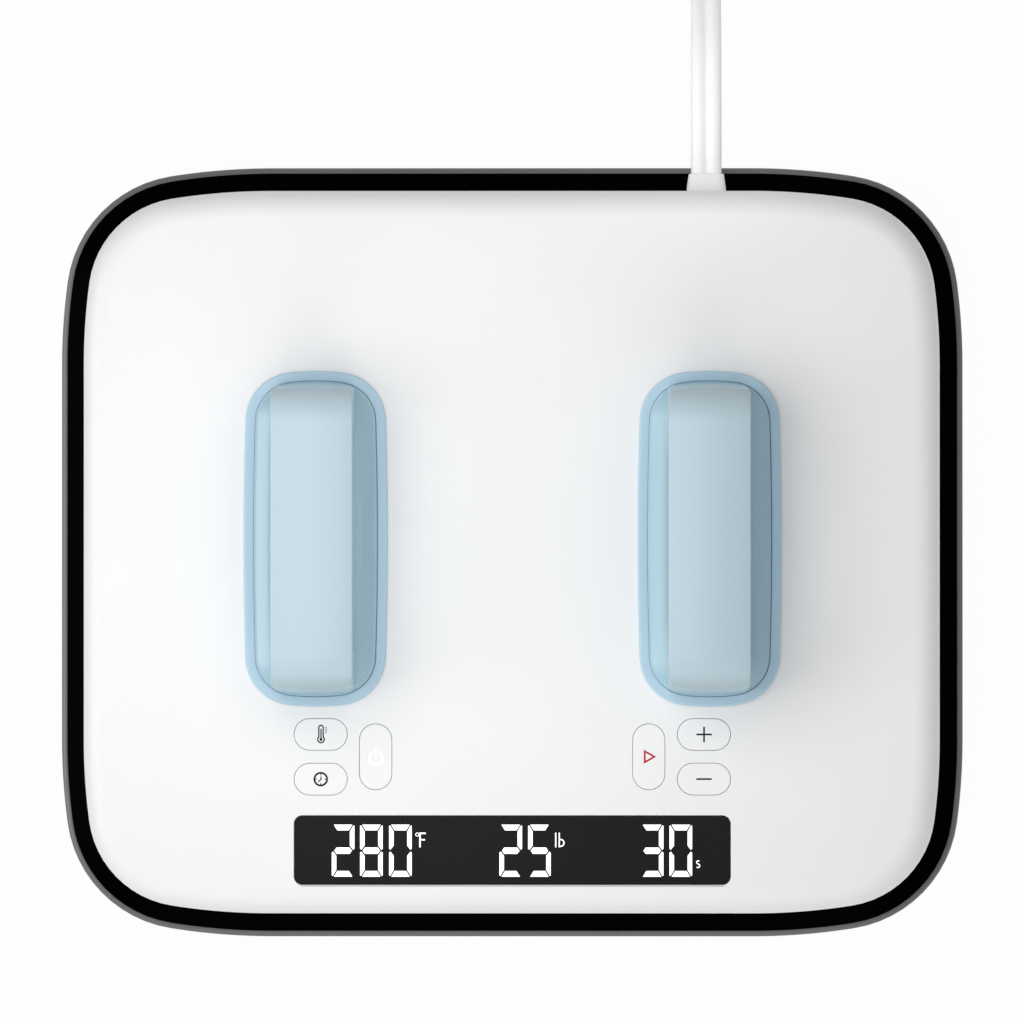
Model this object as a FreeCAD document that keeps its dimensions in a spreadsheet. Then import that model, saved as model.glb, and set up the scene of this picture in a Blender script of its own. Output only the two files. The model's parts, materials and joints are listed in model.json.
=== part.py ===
import FreeCAD, Part
import math
import os

import Sketcher

# A handheld heat press with two handles. Lengths are in millimetres. X runs along the length, Y to the
# back, where the cord leaves, and Z up. The origin is on the pressing face, below the middle of the housing.
# Heights are measured from the pressing face, and "inset" is a distance inwards from the skirt's outline.
SIZES = {
    # Outline of the housing, which stands one margin outside the plate and which every casing follows
    "plate_margin": 21.4,
    "corner_radius": 53.7,
    "end_bow": 0.84,
    "side_bow": 1.2,
    # Heat plate and its tubular element
    "plate_length": 304.8,
    "plate_width": 254.0,
    "plate_thickness": 8.0,
    "plate_corner": 45.0,
    "plate_edge_round": 1.5,
    "heater_diameter": 6.5,
    "heater_groove_play": 0.6,
    "heater_run_margin": 52.4,
    "heater_row_margin": 31.0,
    "heater_end_margin": 40.4,
    "heater_riser_bend": 12.0,
    "heater_top": 36.0,
    # Standoffs and the screws that hold the plate to the chassis
    "spacer_diameter": 10.0,
    "spacer_bore": 4.6,
    "plate_screw_diameter": 4.0,
    "plate_screw_reach": 5.0,
    "screw_play": 0.6,
    "screw_head_diameter": 7.8,
    "screw_head_height": 2.6,
    # Small parts on the plate
    "lug_thickness": 1.2,
    "cutout_diameter": 15.0,
    "cutout_height": 8.0,
    "cutout_flange_length": 30.0,
    "cutout_flange_width": 11.0,
    "sensor_length": 18.0,
    "sensor_width": 9.0,
    "bead_diameter": 5.0,
    "small_screw_diameter": 3.0,
    "small_head_diameter": 5.6,
    "small_head_height": 2.0,
    "plate_part_offset": 30.0,
    # Insulation and sheet metal
    "seat_gap": 0.3,
    "blanket_thickness": 12.0,
    "blanket_margin": 6.0,
    "reflector_thickness": 0.8,
    "reflector_margin": 4.0,
    "chassis_height": 28.0,
    "chassis_thickness": 2.0,
    "chassis_inset": 10.6,
    # Lower housing
    "skirt_bottom": 3.5,
    "skirt_top": 26.0,
    "skirt_wall": 2.6,
    "skirt_floor": 2.5,
    "skirt_bottom_round": 2.4,
    "skirt_top_round": 2.1,
    "plate_gap": 3.0,
    "boss_diameter": 9.0,
    "rest_diameter": 7.6,
    "rest_inset": 13.5,
    "counterbore_top": 12.0,
    # Bezel ring
    "bezel_inset": 2.2,
    "bezel_lip": 1.2,
    "bezel_wall": 1.6,
    "bezel_tongue": 2.0,
    "bezel_tongue_depth": 4.0,
    "bezel_flange_inset": 21.6,
    # Top shell
    "shell_inset": 9.9,
    "shell_top": 66.0,
    "shell_wall": 2.6,
    "shell_round": 10.0,
    "shell_boss_inset": 6.6,
    "shell_boss_top": 60.0,
    "shell_screw_top": 45.0,
    # Handles, given from the middle of each handle's own oval
    "handle_spacing": 150.5,
    "handle_front": 89.35,
    "flange_half_length": 64.25,
    "flange_half_width": 27.5,
    "flange_corner": 18.8,
    "flange_end_bow": 0.48,
    "flange_side_bow": 0.7,
    "flange_height": 2.7,
    "flange_floor": 1.1,
    "flange_floor_width": 6.0,
    "flange_round": 1.6,
    "flange_rim": 3.1,
    "seam": 0.35,
    "peg_diameter": 3.0,
    "handle_top": 119.0,
    "grip_width": 31.0,
    "grip_thickness": 20.5,
    "grip_edge_round": 1.8,
    "grip_underside_round": 4.0,
    "grip_cover_thickness": 10.0,
    "gap_half_length": 42.0,
    "gap_corner": 14.0,
    "foot_shoulder": 74.0,
    "foot_edge": 68.4,
    "pillar_lean": 3.2,
    "pillar_top_round": 13.0,
    "post_spacing": 100.0,
    "post_diameter": 15.0,
    "rod_diameter": 8.0,
    "rod_play": 0.4,
    "rod_bend": 16.0,
    "rod_depth": 14.4,
    "rod_bottom": 39.5,
    "nut_across_corners": 15.0,
    "nut_height": 6.5,
    # Load cells under the handles
    "cell_length": 75.0,
    "cell_width": 12.7,
    "cell_height": 12.7,
    "cell_spacer_length": 25.0,
    "cell_spacer_thickness": 2.5,
    "cell_hole_spacing": 15.0,
    "cell_end_margin": 5.0,
    "cell_screw_diameter": 5.0,
    "cell_window": 11.0,
    "cell_window_spacing": 9.0,
    "bridge_thickness": 3.0,
    "bridge_width": 30.0,
    "bridge_end_margin": 11.0,
    # Buttons
    "button_gap": 0.35,
    "button_travel": 0.6,
    "button_round": 0.5,
    "wide_button_length": 20.6,
    "wide_button_width": 12.2,
    "tall_button_length": 12.6,
    "tall_button_width": 25.2,
    "wide_button_x": 73.2,
    "tall_button_x": 52.1,
    "button_row_front": 70.0,
    "button_row_pitch": 17.2,
    "button_flange": 1.2,
    "button_stem_diameter": 3.6,
    "switch_size": 6.0,
    "switch_height": 3.4,
    "plunger_diameter": 3.0,
    "plunger_height": 2.5,
    "plunger_play": 0.6,
    # Boards
    "board_thickness": 1.6,
    "control_board_length": 190.0,
    "control_board_width": 44.0,
    "control_board_bottom": 52.4,
    "control_hole_x": 90.5,
    "control_hole_y": 15.0,
    "board_boss_diameter": 7.0,
    "board_screw_diameter": 2.6,
    "board_head_diameter": 5.0,
    "board_head_height": 1.8,
    "board_screw_reach": 5.0,
    "buzzer_diameter": 12.0,
    "buzzer_height": 8.5,
    "power_board_length": 96.0,
    "power_board_width": 84.0,
    "power_board_back": 86.4,
    "power_standoff": 6.0,
    "power_hole_margin": 4.5,
    # What stands on the power board, from the board's middle
    "relay_x": -30.0,
    "relay_y": 26.0,
    "relay_length": 19.0,
    "relay_width": 15.5,
    "relay_height": 15.0,
    "transformer_x": 18.0,
    "transformer_y": -14.0,
    "transformer_length": 30.0,
    "transformer_width": 26.0,
    "transformer_height": 20.0,
    "terminal_x": 29.0,
    "terminal_y": 29.0,
    "terminal_length": 24.0,
    "terminal_width": 14.0,
    "terminal_height": 13.0,
    # Display
    "window_length": 166.6,
    "window_width": 26.5,
    "window_corner": 2.5,
    "window_thickness": 1.5,
    "window_front": 34.6,
    "window_play": 0.2,
    "window_ledge_x": 5.0,
    "window_ledge_y": 4.5,
    "display_box_margin": 3.0,
    "display_board_overhang": 1.7,
    "display_board_width": 22.0,
    "display_board_top": 58.8,
    # Cord, boot and plug
    "cord_x": 74.7,
    "cord_height": 41.0,
    "cord_strand": 6.1,
    "cord_width": 11.8,
    "boot_end_inset": 3.4,
    "boot_width": 15.2,
    "boot_height": 10.4,
    "boot_end_width": 13.6,
    "boot_end_height": 8.0,
    "boot_collar": 2.4,
    "boot_collar_rim": 2.2,
    "boot_inner_length": 13.0,
    "lead_diameter": 5.0,
    "lead_spacing": 5.9,
    "clamp_length": 34.0,
    "clamp_depth": 8.0,
    "clamp_back": 38.4,
    "clamp_top": 48.0,
    "clamp_screw_spacing": 26.0,
    "heater_lead_diameter": 3.2,
    "heater_lead_lift": 9.0,
    "rear_lead_straight": 50.0,
    "rear_lead_slant": 16.0,
    "rear_lead_shift": 3.0,
    "front_lead_outer_x": 48.0,
    "front_lead_inner_x": 40.0,
    "front_lead_back_x": 46.0,
    "front_lead_slant": 60.0,
    "front_lead_end": 30.0,
    "coil_radius": 67.0,
    "coil_pitch": 6.6,
    "coil_layer_gap": 0.5,
    "coil_start_y": 302.0,
    "floor_gap": 0.05,
    "tail_length": 52.0,
    "plug_axis_height": 11.2,
    "plug_relief_length": 20.0,
    "plug_body_length": 32.0,
    "plug_body_width": 22.0,
    "plug_body_thickness": 18.0,
    "plug_nose_width": 18.0,
    "plug_nose_thickness": 15.0,
    "pin_spacing": 12.7,
    "pin_thickness": 1.5,
    "pin_width": 6.35,
    "neutral_pin_width": 7.9,
    "pin_length": 17.0,
    "pin_root": 4.0,
}

DIAGONAL = 0.5**0.5
NODES = []

doc = FreeCAD.newDocument("heat_press")
sheet = doc.addObject("Spreadsheet::Sheet", "dims")
for row_number, (alias, number) in enumerate(SIZES.items(), start=1):
    sheet.set(f"A{row_number}", alias)
    sheet.set(f"B{row_number}", str(number))
    sheet.setAlias(f"B{row_number}", alias)
doc.recompute()


class Size:
    """A length together with the sheet expression that gives it."""

    def __init__(self, value, text):
        self.value = float(value)
        self.text = text

    def __add__(self, other):
        other = as_size(other)
        return Size(self.value + other.value, f"({self.text} + {other.text})")

    def __sub__(self, other):
        other = as_size(other)
        return Size(self.value - other.value, f"({self.text} - {other.text})")

    def __mul__(self, other):
        other = as_size(other)
        return Size(self.value * other.value, f"({self.text} * {other.text})")

    def __truediv__(self, other):
        other = as_size(other)
        return Size(self.value / other.value, f"({self.text} / {other.text})")

    def __radd__(self, other):
        return as_size(other) + self

    def __rsub__(self, other):
        return as_size(other) - self

    def __rmul__(self, other):
        return as_size(other) * self

    def __neg__(self):
        return Size(-self.value, f"(-1 * {self.text})")

    def __float__(self):
        return self.value


def as_size(number):
    return number if isinstance(number, Size) else Size(number, repr(float(number)))


def size(alias):
    return Size(sheet.get(alias), f"dims.{alias}")


def vector(x, y, z):
    return FreeCAD.Vector(float(x), float(y), float(z))


def keep(thing, label):
    """Name a finished sub-part, which is written to a file of that name."""
    thing.Label = label
    NODES.append(thing)
    return thing


# Sketch and feature helpers


def new_body(label):
    body = doc.addObject("PartDesign::Body", label)
    body.AllowCompound = True
    return keep(body, label)


def new_sketch(body, name, plane="XY_Plane", offset=0.0):
    """A sketch on one of the body's origin planes, moved along the plane's normal by offset."""
    sketch = body.newObject("Sketcher::SketchObject", name)
    base = next(f for f in body.Origin.OriginFeatures if f.Role == plane)
    sketch.AttachmentSupport = [(base, "")]
    sketch.MapMode = "FlatFace"
    offset = as_size(offset)
    sketch.AttachmentOffset = FreeCAD.Placement(vector(0, 0, offset), FreeCAD.Rotation())
    sketch.setExpression(".AttachmentOffset.Base.z", offset.text)
    return sketch


def hold(sketch, kind, *where):
    """Add a constraint. Its last value may be a size, which stays bound to the sheet."""
    *where, last = where
    if isinstance(last, Size):
        number = sketch.addConstraint(Sketcher.Constraint(kind, *where, last.value))
        sketch.setExpression(f"Constraints[{number}]", last.text)
    else:
        sketch.addConstraint(Sketcher.Constraint(kind, *where, last))


def place_point(sketch, geometry, point, x, y):
    """Fix a point's place from the sketch's origin."""
    for axis, kind, number in ((-2, "DistanceX", as_size(x)), (-1, "DistanceY", as_size(y))):
        if number.value == 0 and "dims" not in number.text:
            hold(sketch, "PointOnObject", geometry, point, axis)
        else:
            hold(sketch, kind, -1, 1, geometry, point, number)


def draw_circle(sketch, x, y, diameter):
    x, y, diameter = as_size(x), as_size(y), as_size(diameter)
    circle = Part.Circle(vector(x, y, 0), vector(0, 0, 1), diameter.value / 2)
    geometry = sketch.addGeometry(circle, False)
    place_point(sketch, geometry, 3, x, y)
    hold(sketch, "Diameter", geometry, diameter)


def draw_rectangle(sketch, x, y, length, width, corner=None):
    """A rectangle round (x, y), with rounded corners if corner is given."""
    x, y, length, width = (as_size(number) for number in (x, y, length, width))
    left, right = x - length / 2, x + length / 2
    low, high = y - width / 2, y + width / 2
    if corner is None:
        corners = [(left, low), (right, low), (right, high), (left, high)]
        lines = [
            sketch.addGeometry(
                Part.LineSegment(vector(*corners[i], 0), vector(*corners[(i + 1) % 4], 0)), False
            )
            for i in range(4)
        ]
        for i in range(4):
            hold(sketch, "Coincident", lines[i], 2, lines[(i + 1) % 4], 1)
            hold(sketch, ("Horizontal", "Vertical")[i % 2], lines[i])
        place_point(sketch, lines[0], 1, left, low)
        place_point(sketch, lines[2], 1, right, high)
        return
    corner = as_size(corner)
    middles = [
        (right - corner, high - corner),
        (left + corner, high - corner),
        (left + corner, low + corner),
        (right - corner, low + corner),
    ]
    arcs = []
    lines = []
    for i, (mx, my) in enumerate(middles):
        circle = Part.Circle(vector(mx, my, 0), vector(0, 0, 1), corner.value)
        start = i * math.pi / 2
        arcs.append(sketch.addGeometry(Part.ArcOfCircle(circle, start, start + math.pi / 2), False))
    for i in range(4):
        begin = sketch.getPoint(arcs[i], 2)
        end = sketch.getPoint(arcs[(i + 1) % 4], 1)
        lines.append(sketch.addGeometry(Part.LineSegment(begin, end), False))
    for i in range(4):
        hold(sketch, "Tangent", arcs[i], 2, lines[i], 1)
        hold(sketch, "Tangent", lines[i], 2, arcs[(i + 1) % 4], 1)
        hold(sketch, ("Horizontal", "Vertical")[i % 2], lines[i])
        hold(sketch, "Radius", arcs[i], corner)
    place_point(sketch, arcs[0], 3, *middles[0])
    place_point(sketch, arcs[2], 3, *middles[2])


def draw_oval(sketch, x, y, shape, inset):
    """A closed outline of eight tangent arcs at an inset: four corners, and four sides that bow gently.

    shape holds the half length along x, the half length along y, the corner radius, the bow of the
    ends that face x and the bow of the sides that face y.
    """
    x, y, inset = as_size(x), as_size(y), as_size(inset)
    half_x, half_y, corner, bow_x, bow_y = shape
    corner_x = half_x - corner - bow_x
    corner_y = half_y - corner - bow_y
    # A side arc touches both corner arcs, which gives its radius
    end_radius = bow_radius(corner, bow_x, corner_y)
    side_radius = bow_radius(corner, bow_y, corner_x)
    rounds = corner - inset
    spots = [
        (half_x - end_radius, as_size(0), end_radius - inset),
        (corner_x, corner_y, rounds),
        (as_size(0), half_y - side_radius, side_radius - inset),
        (-corner_x, corner_y, rounds),
        (-(half_x - end_radius), as_size(0), end_radius - inset),
        (-corner_x, -corner_y, rounds),
        (as_size(0), -(half_y - side_radius), side_radius - inset),
        (corner_x, -corner_y, rounds),
    ]
    tilt_x = math.atan2(corner_y.value, corner_x.value - (half_x - end_radius).value)
    tilt_y = math.atan2(corner_x.value, corner_y.value - (half_y - side_radius).value)
    starts = [-tilt_x, tilt_x, math.pi / 2 - tilt_y, math.pi / 2 + tilt_y]
    starts += [angle + math.pi for angle in starts]
    arcs = []
    for i, (mx, my, radius) in enumerate(spots):
        circle = Part.Circle(vector(x + mx, y + my, 0), vector(0, 0, 1), radius.value)
        finish = starts[(i + 1) % 8] + (2 * math.pi if i == 7 else 0)
        arcs.append(sketch.addGeometry(Part.ArcOfCircle(circle, starts[i], finish), False))
    for i in range(8):
        hold(sketch, "Tangent", arcs[i], 2, arcs[(i + 1) % 8], 1)
        hold(sketch, "Radius", arcs[i], spots[i][2])
        if i % 2:
            place_point(sketch, arcs[i], 3, x + spots[i][0], y + spots[i][1])


def bow_radius(corner, bow, across):
    """The radius of a side arc that stands a bow outside its corner arcs, whose middles are across from it."""
    reach = corner + bow
    return (reach * reach + across * across - corner * corner) / (bow * 2)


def pad(body, sketch, length, reverse=False, symmetric=False):
    feature = body.newObject("PartDesign::Pad", sketch.Name + "_pad")
    feature.Profile = sketch
    feature.setExpression("Length", as_size(length).text)
    feature.Reversed = reverse
    feature.SideType = "Symmetric" if symmetric else "One side"
    return feature


def pocket(body, sketch, length=None, reverse=False, symmetric=False):
    """Cut along the sketch's normal, downwards unless reversed, to a length or right through."""
    feature = body.newObject("PartDesign::Pocket", sketch.Name + "_pocket")
    feature.Profile = sketch
    feature.Reversed = reverse
    if length is None:
        feature.Type = "ThroughAll"
    else:
        feature.setExpression("Length", as_size(length).text)
    feature.SideType = "Symmetric" if symmetric else "One side"
    return feature


def pipe(body, kind, profile, spine):
    feature = body.newObject(f"PartDesign::{kind}Pipe", profile.Name + "_pipe")
    feature.Profile = profile
    feature.Spine = (spine, [])
    return feature


def loft(body, kind, first, last):
    feature = body.newObject(f"PartDesign::{kind}Loft", first.Name + "_loft")
    feature.Profile = first
    feature.Sections = [last]
    feature.Ruled = True
    return feature


def dress(body, kind, expression, test):
    """Round or chamfer the edges of the body's tip that pass a test."""
    doc.recompute()
    base = body.Tip
    edges = [f"Edge{i}" for i, edge in enumerate(base.Shape.Edges, start=1) if test(edge)]
    if not edges:
        raise ValueError(f"{body.Label} has no edge to {kind.lower()}")
    feature = body.newObject(f"PartDesign::{kind}", f"{body.Name}_{kind.lower()}")
    feature.Base = (base, edges)
    feature.setExpression("Radius" if kind == "Fillet" else "Size", as_size(expression).text)
    return feature


def at_height(height):
    """A test for edges that lie flat at a height."""
    level = float(height)

    def test(edge):
        box = edge.BoundBox
        return abs(box.ZMin - level) < 1e-4 and abs(box.ZMax - level) < 1e-4

    return test


# Primitive helpers


def bind(thing, name, number):
    number = as_size(number)
    thing.setExpression(name, number.text)
    return number


def move_to(thing, x, y, z):
    for axis, number in zip("xyz", (x, y, z)):
        bind(thing, f"Placement.Base.{axis}", number)


def cylinder(name, x, y, z, diameter, height):
    thing = doc.addObject("Part::Cylinder", name)
    bind(thing, "Radius", as_size(diameter) / 2)
    bind(thing, "Height", height)
    move_to(thing, x, y, z)
    return thing


def box(name, x, y, z, length, width, height):
    """A box whose footprint is centred on (x, y) and that stands on z."""
    thing = doc.addObject("Part::Box", name)
    bind(thing, "Length", length)
    bind(thing, "Width", width)
    bind(thing, "Height", height)
    move_to(thing, as_size(x) - as_size(length) / 2, as_size(y) - as_size(width) / 2, z)
    return thing


def hexagon(name, x, y, z, across_corners, height):
    thing = doc.addObject("Part::Prism", name)
    thing.Polygon = 6
    bind(thing, "Circumradius", as_size(across_corners) / 2)
    bind(thing, "Height", height)
    move_to(thing, x, y, z)
    return thing


def join(name, *things):
    thing = doc.addObject("Part::MultiFuse", name)
    thing.Shapes = list(things)
    return thing


def cut(name, base, tool):
    thing = doc.addObject("Part::Cut", name)
    thing.Base = base
    thing.Tool = tool
    return thing


def group(label, things):
    """Several separate solids of one kind in one node."""
    thing = doc.addObject("Part::Compound", label)
    thing.Links = list(things)
    return keep(thing, label)


def screw(name, x, y, seat, reach, diameter, head, head_height, socket, upwards=True):
    """A screw whose head rests on seat, with a hexagon socket. Its head points up unless upwards is False."""
    seat, reach, head_height = as_size(seat), as_size(reach), as_size(head_height)
    head_base = seat if upwards else seat - head_height
    shank_base = seat - reach if upwards else seat
    socket_depth = head_height * 0.6
    socket_base = seat + head_height - socket_depth if upwards else seat - head_height
    solid = join(
        f"{name}_solid",
        cylinder(f"{name}_head", x, y, head_base, head, head_height),
        cylinder(f"{name}_shank", x, y, shank_base, diameter, reach),
    )
    return cut(name, solid, hexagon(f"{name}_socket", x, y, socket_base, socket, socket_depth))


def tube(label_points, diameter):
    """A round tube along a path of points: straight runs joined by tangent arcs."""
    wire, start, direction = rounded_path(label_points)
    circle = Part.Circle(start, direction, float(diameter) / 2)
    shell = Part.BRepOffsetAPI.MakePipeShell(wire)
    shell.add(Part.Wire(circle.toShape()))
    shell.build()
    shell.makeSolid()
    return shell.shape()


def rounded_path(points, radii=None):
    """Straight runs joined by tangent arcs of 0.45 of the shorter run over the tangent of half the turn."""
    points = [FreeCAD.Vector(point) for point in points]
    edges = []
    at = points[0]
    for i in range(1, len(points) - 1):
        before = points[i] - points[i - 1]
        after = points[i + 1] - points[i]
        turn = before.getAngle(after)
        reach = 0.45 * min(before.Length, after.Length)
        radius = reach / math.tan(turn / 2)
        if radii is not None:
            radii.append(radius)
        before.normalize()
        after.normalize()
        begin = points[i] - before * reach
        finish = points[i] + after * reach
        inwards = (after - before).normalize()
        middle = points[i] + inwards * (radius / math.cos(turn / 2) - radius)
        edges.append(Part.LineSegment(at, begin).toShape())
        edges.append(Part.Arc(begin, middle, finish).toShape())
        at = finish
    edges.append(Part.LineSegment(at, points[-1]).toShape())
    return Part.Wire(edges), points[0], (points[1] - points[0]).normalize()


def set_shape(label, shape):
    thing = doc.addObject("Part::Feature", label)
    thing.Shape = shape
    return keep(thing, label)


# Sizes that several pieces share

D = {alias: size(alias) for alias in SIZES}
half_length = D["plate_length"] / 2 + D["plate_margin"]
half_width = D["plate_width"] / 2 + D["plate_margin"]
HOUSING = (half_length, half_width, D["corner_radius"], D["end_bow"], D["side_bow"])
FLANGE = (
    D["flange_half_width"],
    D["flange_half_length"],
    D["flange_corner"],
    D["flange_side_bow"],
    D["flange_end_bow"],
)
HANDLES = (("left", -D["handle_spacing"] / 2), ("right", D["handle_spacing"] / 2))

# Heights in the grip, each from its top
grip_bottom = D["handle_top"] - D["grip_thickness"]
grip_split = D["handle_top"] - D["grip_cover_thickness"]
rod_top = D["handle_top"] - D["rod_depth"]

# Places on Y, each from the front or the back edge
handle_shift = D["handle_front"] + D["flange_half_length"] - half_width
button_row_y = D["button_row_front"] - half_width
window_y = D["window_front"] - half_width
power_board_y = half_width - D["power_board_back"]
clamp_y = half_width - D["clamp_back"]

blanket_bottom = D["plate_thickness"] + D["heater_diameter"] / 2 + D["seat_gap"]
blanket_top = blanket_bottom + D["blanket_thickness"]
reflector_bottom = blanket_top + D["seat_gap"]
chassis_top = D["chassis_height"] + D["chassis_thickness"]
bezel_top = chassis_top + D["bezel_wall"]
shell_ceiling = D["shell_top"] - D["shell_wall"]
lug_top = D["plate_thickness"] + D["lug_thickness"]

# The four housing screws stand on the diagonals of the shell's corners
shell_boss_inset = D["shell_inset"] + D["shell_boss_inset"]
corner_x = half_length - D["corner_radius"] - D["end_bow"]
corner_y = half_width - D["corner_radius"] - D["side_bow"]
screw_x = corner_x + (D["corner_radius"] - shell_boss_inset) * DIAGONAL
screw_y = corner_y + (D["corner_radius"] - shell_boss_inset) * DIAGONAL
HOUSING_SCREWS = [(a * screw_x, b * screw_y) for a in (-1, 1) for b in (-1, 1)]

heater_run = D["plate_length"] / 2 - D["heater_run_margin"]
heater_end = D["plate_length"] / 2 - D["heater_end_margin"]
heater_row = D["plate_width"] / 2 - D["heater_row_margin"]
heater_bend = heater_row / 3
spacer_x = heater_run
spacer_y = heater_bend * 2
SPACERS = [(a * spacer_x, b * spacer_y) for a in (-1, 0, 1) for b in (-1, 1)]

riser_x = -(heater_end + D["heater_riser_bend"])
RISERS = [(riser_x, -heater_row), (riser_x, heater_row)]

cell_bottom = chassis_top + D["cell_spacer_thickness"]
cell_top = cell_bottom + D["cell_height"]
bridge_bottom = cell_top + D["cell_spacer_thickness"]
bridge_top = bridge_bottom + D["bridge_thickness"]
cell_hole_far = D["cell_length"] / 2 - D["cell_end_margin"]
cell_hole_near = cell_hole_far - D["cell_hole_spacing"]
cell_pad_middle = D["cell_length"] / 2 - D["cell_spacer_length"] / 2

control_board_top = D["control_board_bottom"] + D["board_thickness"]
switch_top = control_board_top + D["switch_height"]
plunger_top = switch_top + D["plunger_height"] - D["button_travel"] - D["board_thickness"] / 2
button_flange_top = shell_ceiling - D["seat_gap"]
button_flange_bottom = button_flange_top - D["button_flange"]
window_bottom = D["shell_top"] - D["window_thickness"]
power_board_bottom = chassis_top + D["power_standoff"]
power_board_top = power_board_bottom + D["board_thickness"]
CONTROL_HOLES = [
    (a * D["control_hole_x"], button_row_y + b * D["control_hole_y"]) for a in (-1, 1) for b in (-1, 1)
]
display_hole_x = D["window_length"] / 2 - 1.8
POWER_HOLES = [
    (
        a * (D["power_board_length"] / 2 - D["power_hole_margin"]),
        power_board_y + b * (D["power_board_width"] / 2 - D["power_hole_margin"]),
    )
    for a in (-1, 1)
    for b in (-1, 1)
]

wide = (D["wide_button_length"], D["wide_button_width"])
tall = (D["tall_button_length"], D["tall_button_width"])
upper_row = button_row_y + D["button_row_pitch"] / 2
lower_row = button_row_y - D["button_row_pitch"] / 2
BUTTONS = (
    ("temperature", -D["wide_button_x"], upper_row, wide),
    ("timer", -D["wide_button_x"], lower_row, wide),
    ("power", -D["tall_button_x"], button_row_y, tall),
    ("start", D["tall_button_x"], button_row_y, tall),
    ("plus", D["wide_button_x"], upper_row, wide),
    ("minus", D["wide_button_x"], lower_row, wide),
)


# Heat plate and what is on it


def draw_plate(sketch, margin):
    """The plate's outline, grown by a margin."""
    draw_rectangle(
        sketch,
        0,
        0,
        D["plate_length"] + margin * 2,
        D["plate_width"] + margin * 2,
        D["plate_corner"] + margin,
    )


def draw_heater_path(sketch):
    """The element's four rows and three half circles, as one open line."""
    row, run, bend = heater_row, heater_run, heater_bend
    far = riser_x
    rows = (
        (far, run, -row),
        (run, -run, -bend),
        (-run, run, bend),
        (run, far, row),
    )
    lines = []
    arcs = []
    for begin, finish, level in rows:
        ends = vector(begin, level, 0), vector(finish, level, 0)
        lines.append(sketch.addGeometry(Part.LineSegment(*ends), False))
    for side, level in ((1, -bend * 2), (-1, as_size(0)), (1, bend * 2)):
        circle = Part.Circle(vector(side * run, level, 0), vector(0, 0, 1), bend.value)
        start = -math.pi / 2 if side > 0 else math.pi / 2
        arcs.append(sketch.addGeometry(Part.ArcOfCircle(circle, start, start + math.pi), False))
    for i, (begin, finish, level) in enumerate(rows):
        place_point(sketch, lines[i], 1, begin, level)
        place_point(sketch, lines[i], 2, finish, level)
    # The first and last half circles run with their arc's sense, and the middle one against it
    for before, arc, after, first, last in (
        (lines[0], arcs[0], lines[1], 1, 2),
        (lines[1], arcs[1], lines[2], 2, 1),
        (lines[2], arcs[2], lines[3], 1, 2),
    ):
        hold(sketch, "Tangent", before, 2, arc, first)
        hold(sketch, "Coincident", arc, last, after, 1)


def make_heat_plate():
    body = new_body("heat_plate")
    outline = new_sketch(body, "plate_outline")
    draw_plate(outline, as_size(0))
    pad(body, outline, D["plate_thickness"])
    dress(body, "Fillet", D["plate_edge_round"], at_height(0))
    path = new_sketch(body, "groove_path", "XY_Plane", D["plate_thickness"])
    draw_heater_path(path)
    profile = new_sketch(body, "groove_profile", "YZ_Plane", riser_x)
    draw_circle(
        profile, -heater_row, D["plate_thickness"], D["heater_diameter"] + D["heater_groove_play"]
    )
    pipe(body, "Subtractive", profile, path)
    holes = new_sketch(body, "plate_screw_holes", "XY_Plane", D["plate_thickness"])
    for x, y in SPACERS:
        draw_circle(holes, x, y, D["plate_screw_diameter"] + D["screw_play"])
    pocket(body, holes, D["plate_screw_reach"] + 0.5)
    small_holes = new_sketch(body, "small_screw_holes", "XY_Plane", D["plate_thickness"])
    for x, y in sensor_screw_places():
        draw_circle(small_holes, x, y, D["small_screw_diameter"] + D["screw_play"])
    pocket(body, small_holes, D["plate_screw_reach"] - 0.5)


def sensor_screw_places():
    reach = D["cutout_flange_length"] / 2 - D["small_head_diameter"] / 2 - 0.7
    return [
        (-D["plate_part_offset"] - reach, as_size(0)),
        (-D["plate_part_offset"] + reach, as_size(0)),
        (D["plate_part_offset"] + D["sensor_length"] / 2 - D["small_head_diameter"] / 2 - 0.5, as_size(0)),
    ]


def make_heating_element():
    """A tubular element in the plate's groove, whose two ends rise through the chassis."""
    level = float(D["plate_thickness"])
    run, bend, row = float(heater_run), float(heater_bend), float(heater_row)
    end, rise, top = float(heater_end), float(D["heater_riser_bend"]), float(D["heater_top"])
    radius = float(D["heater_diameter"]) / 2
    corner = rise * (1 - DIAGONAL)

    def riser(y):
        """The end of the tube at one side, from its top down to the row."""
        up = vector(-end - rise, y, level + rise)
        middle = vector(-end - rise + corner, y, level + corner)
        along = vector(-end, y, level)
        return vector(-end - rise, y, top), up, middle, along

    def half_circle(x, y, side):
        first = vector(x, y - bend, level)
        return Part.Arc(first, vector(x + side * bend, y, level), vector(x, y + bend, level))

    first_top, first_up, first_middle, first_along = riser(-row)
    last_top, last_up, last_middle, last_along = riser(row)
    edges = [
        Part.LineSegment(first_top, first_up),
        Part.Arc(first_up, first_middle, first_along),
        Part.LineSegment(first_along, vector(run, -row, level)),
        half_circle(run, -2 * bend, 1),
        Part.LineSegment(vector(run, -bend, level), vector(-run, -bend, level)),
        half_circle(-run, 0, -1),
        Part.LineSegment(vector(-run, bend, level), vector(run, bend, level)),
        half_circle(run, 2 * bend, 1),
        Part.LineSegment(vector(run, row, level), last_along),
        Part.Arc(last_along, last_middle, last_up),
        Part.LineSegment(last_up, last_top),
    ]
    wire = Part.Wire([edge.toShape() for edge in edges])
    shell = Part.BRepOffsetAPI.MakePipeShell(wire)
    shell.add(Part.Wire(Part.Circle(first_top, vector(0, 0, 1), radius).toShape()))
    shell.build()
    shell.makeSolid()
    set_shape("heating_element", shell.shape())


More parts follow.
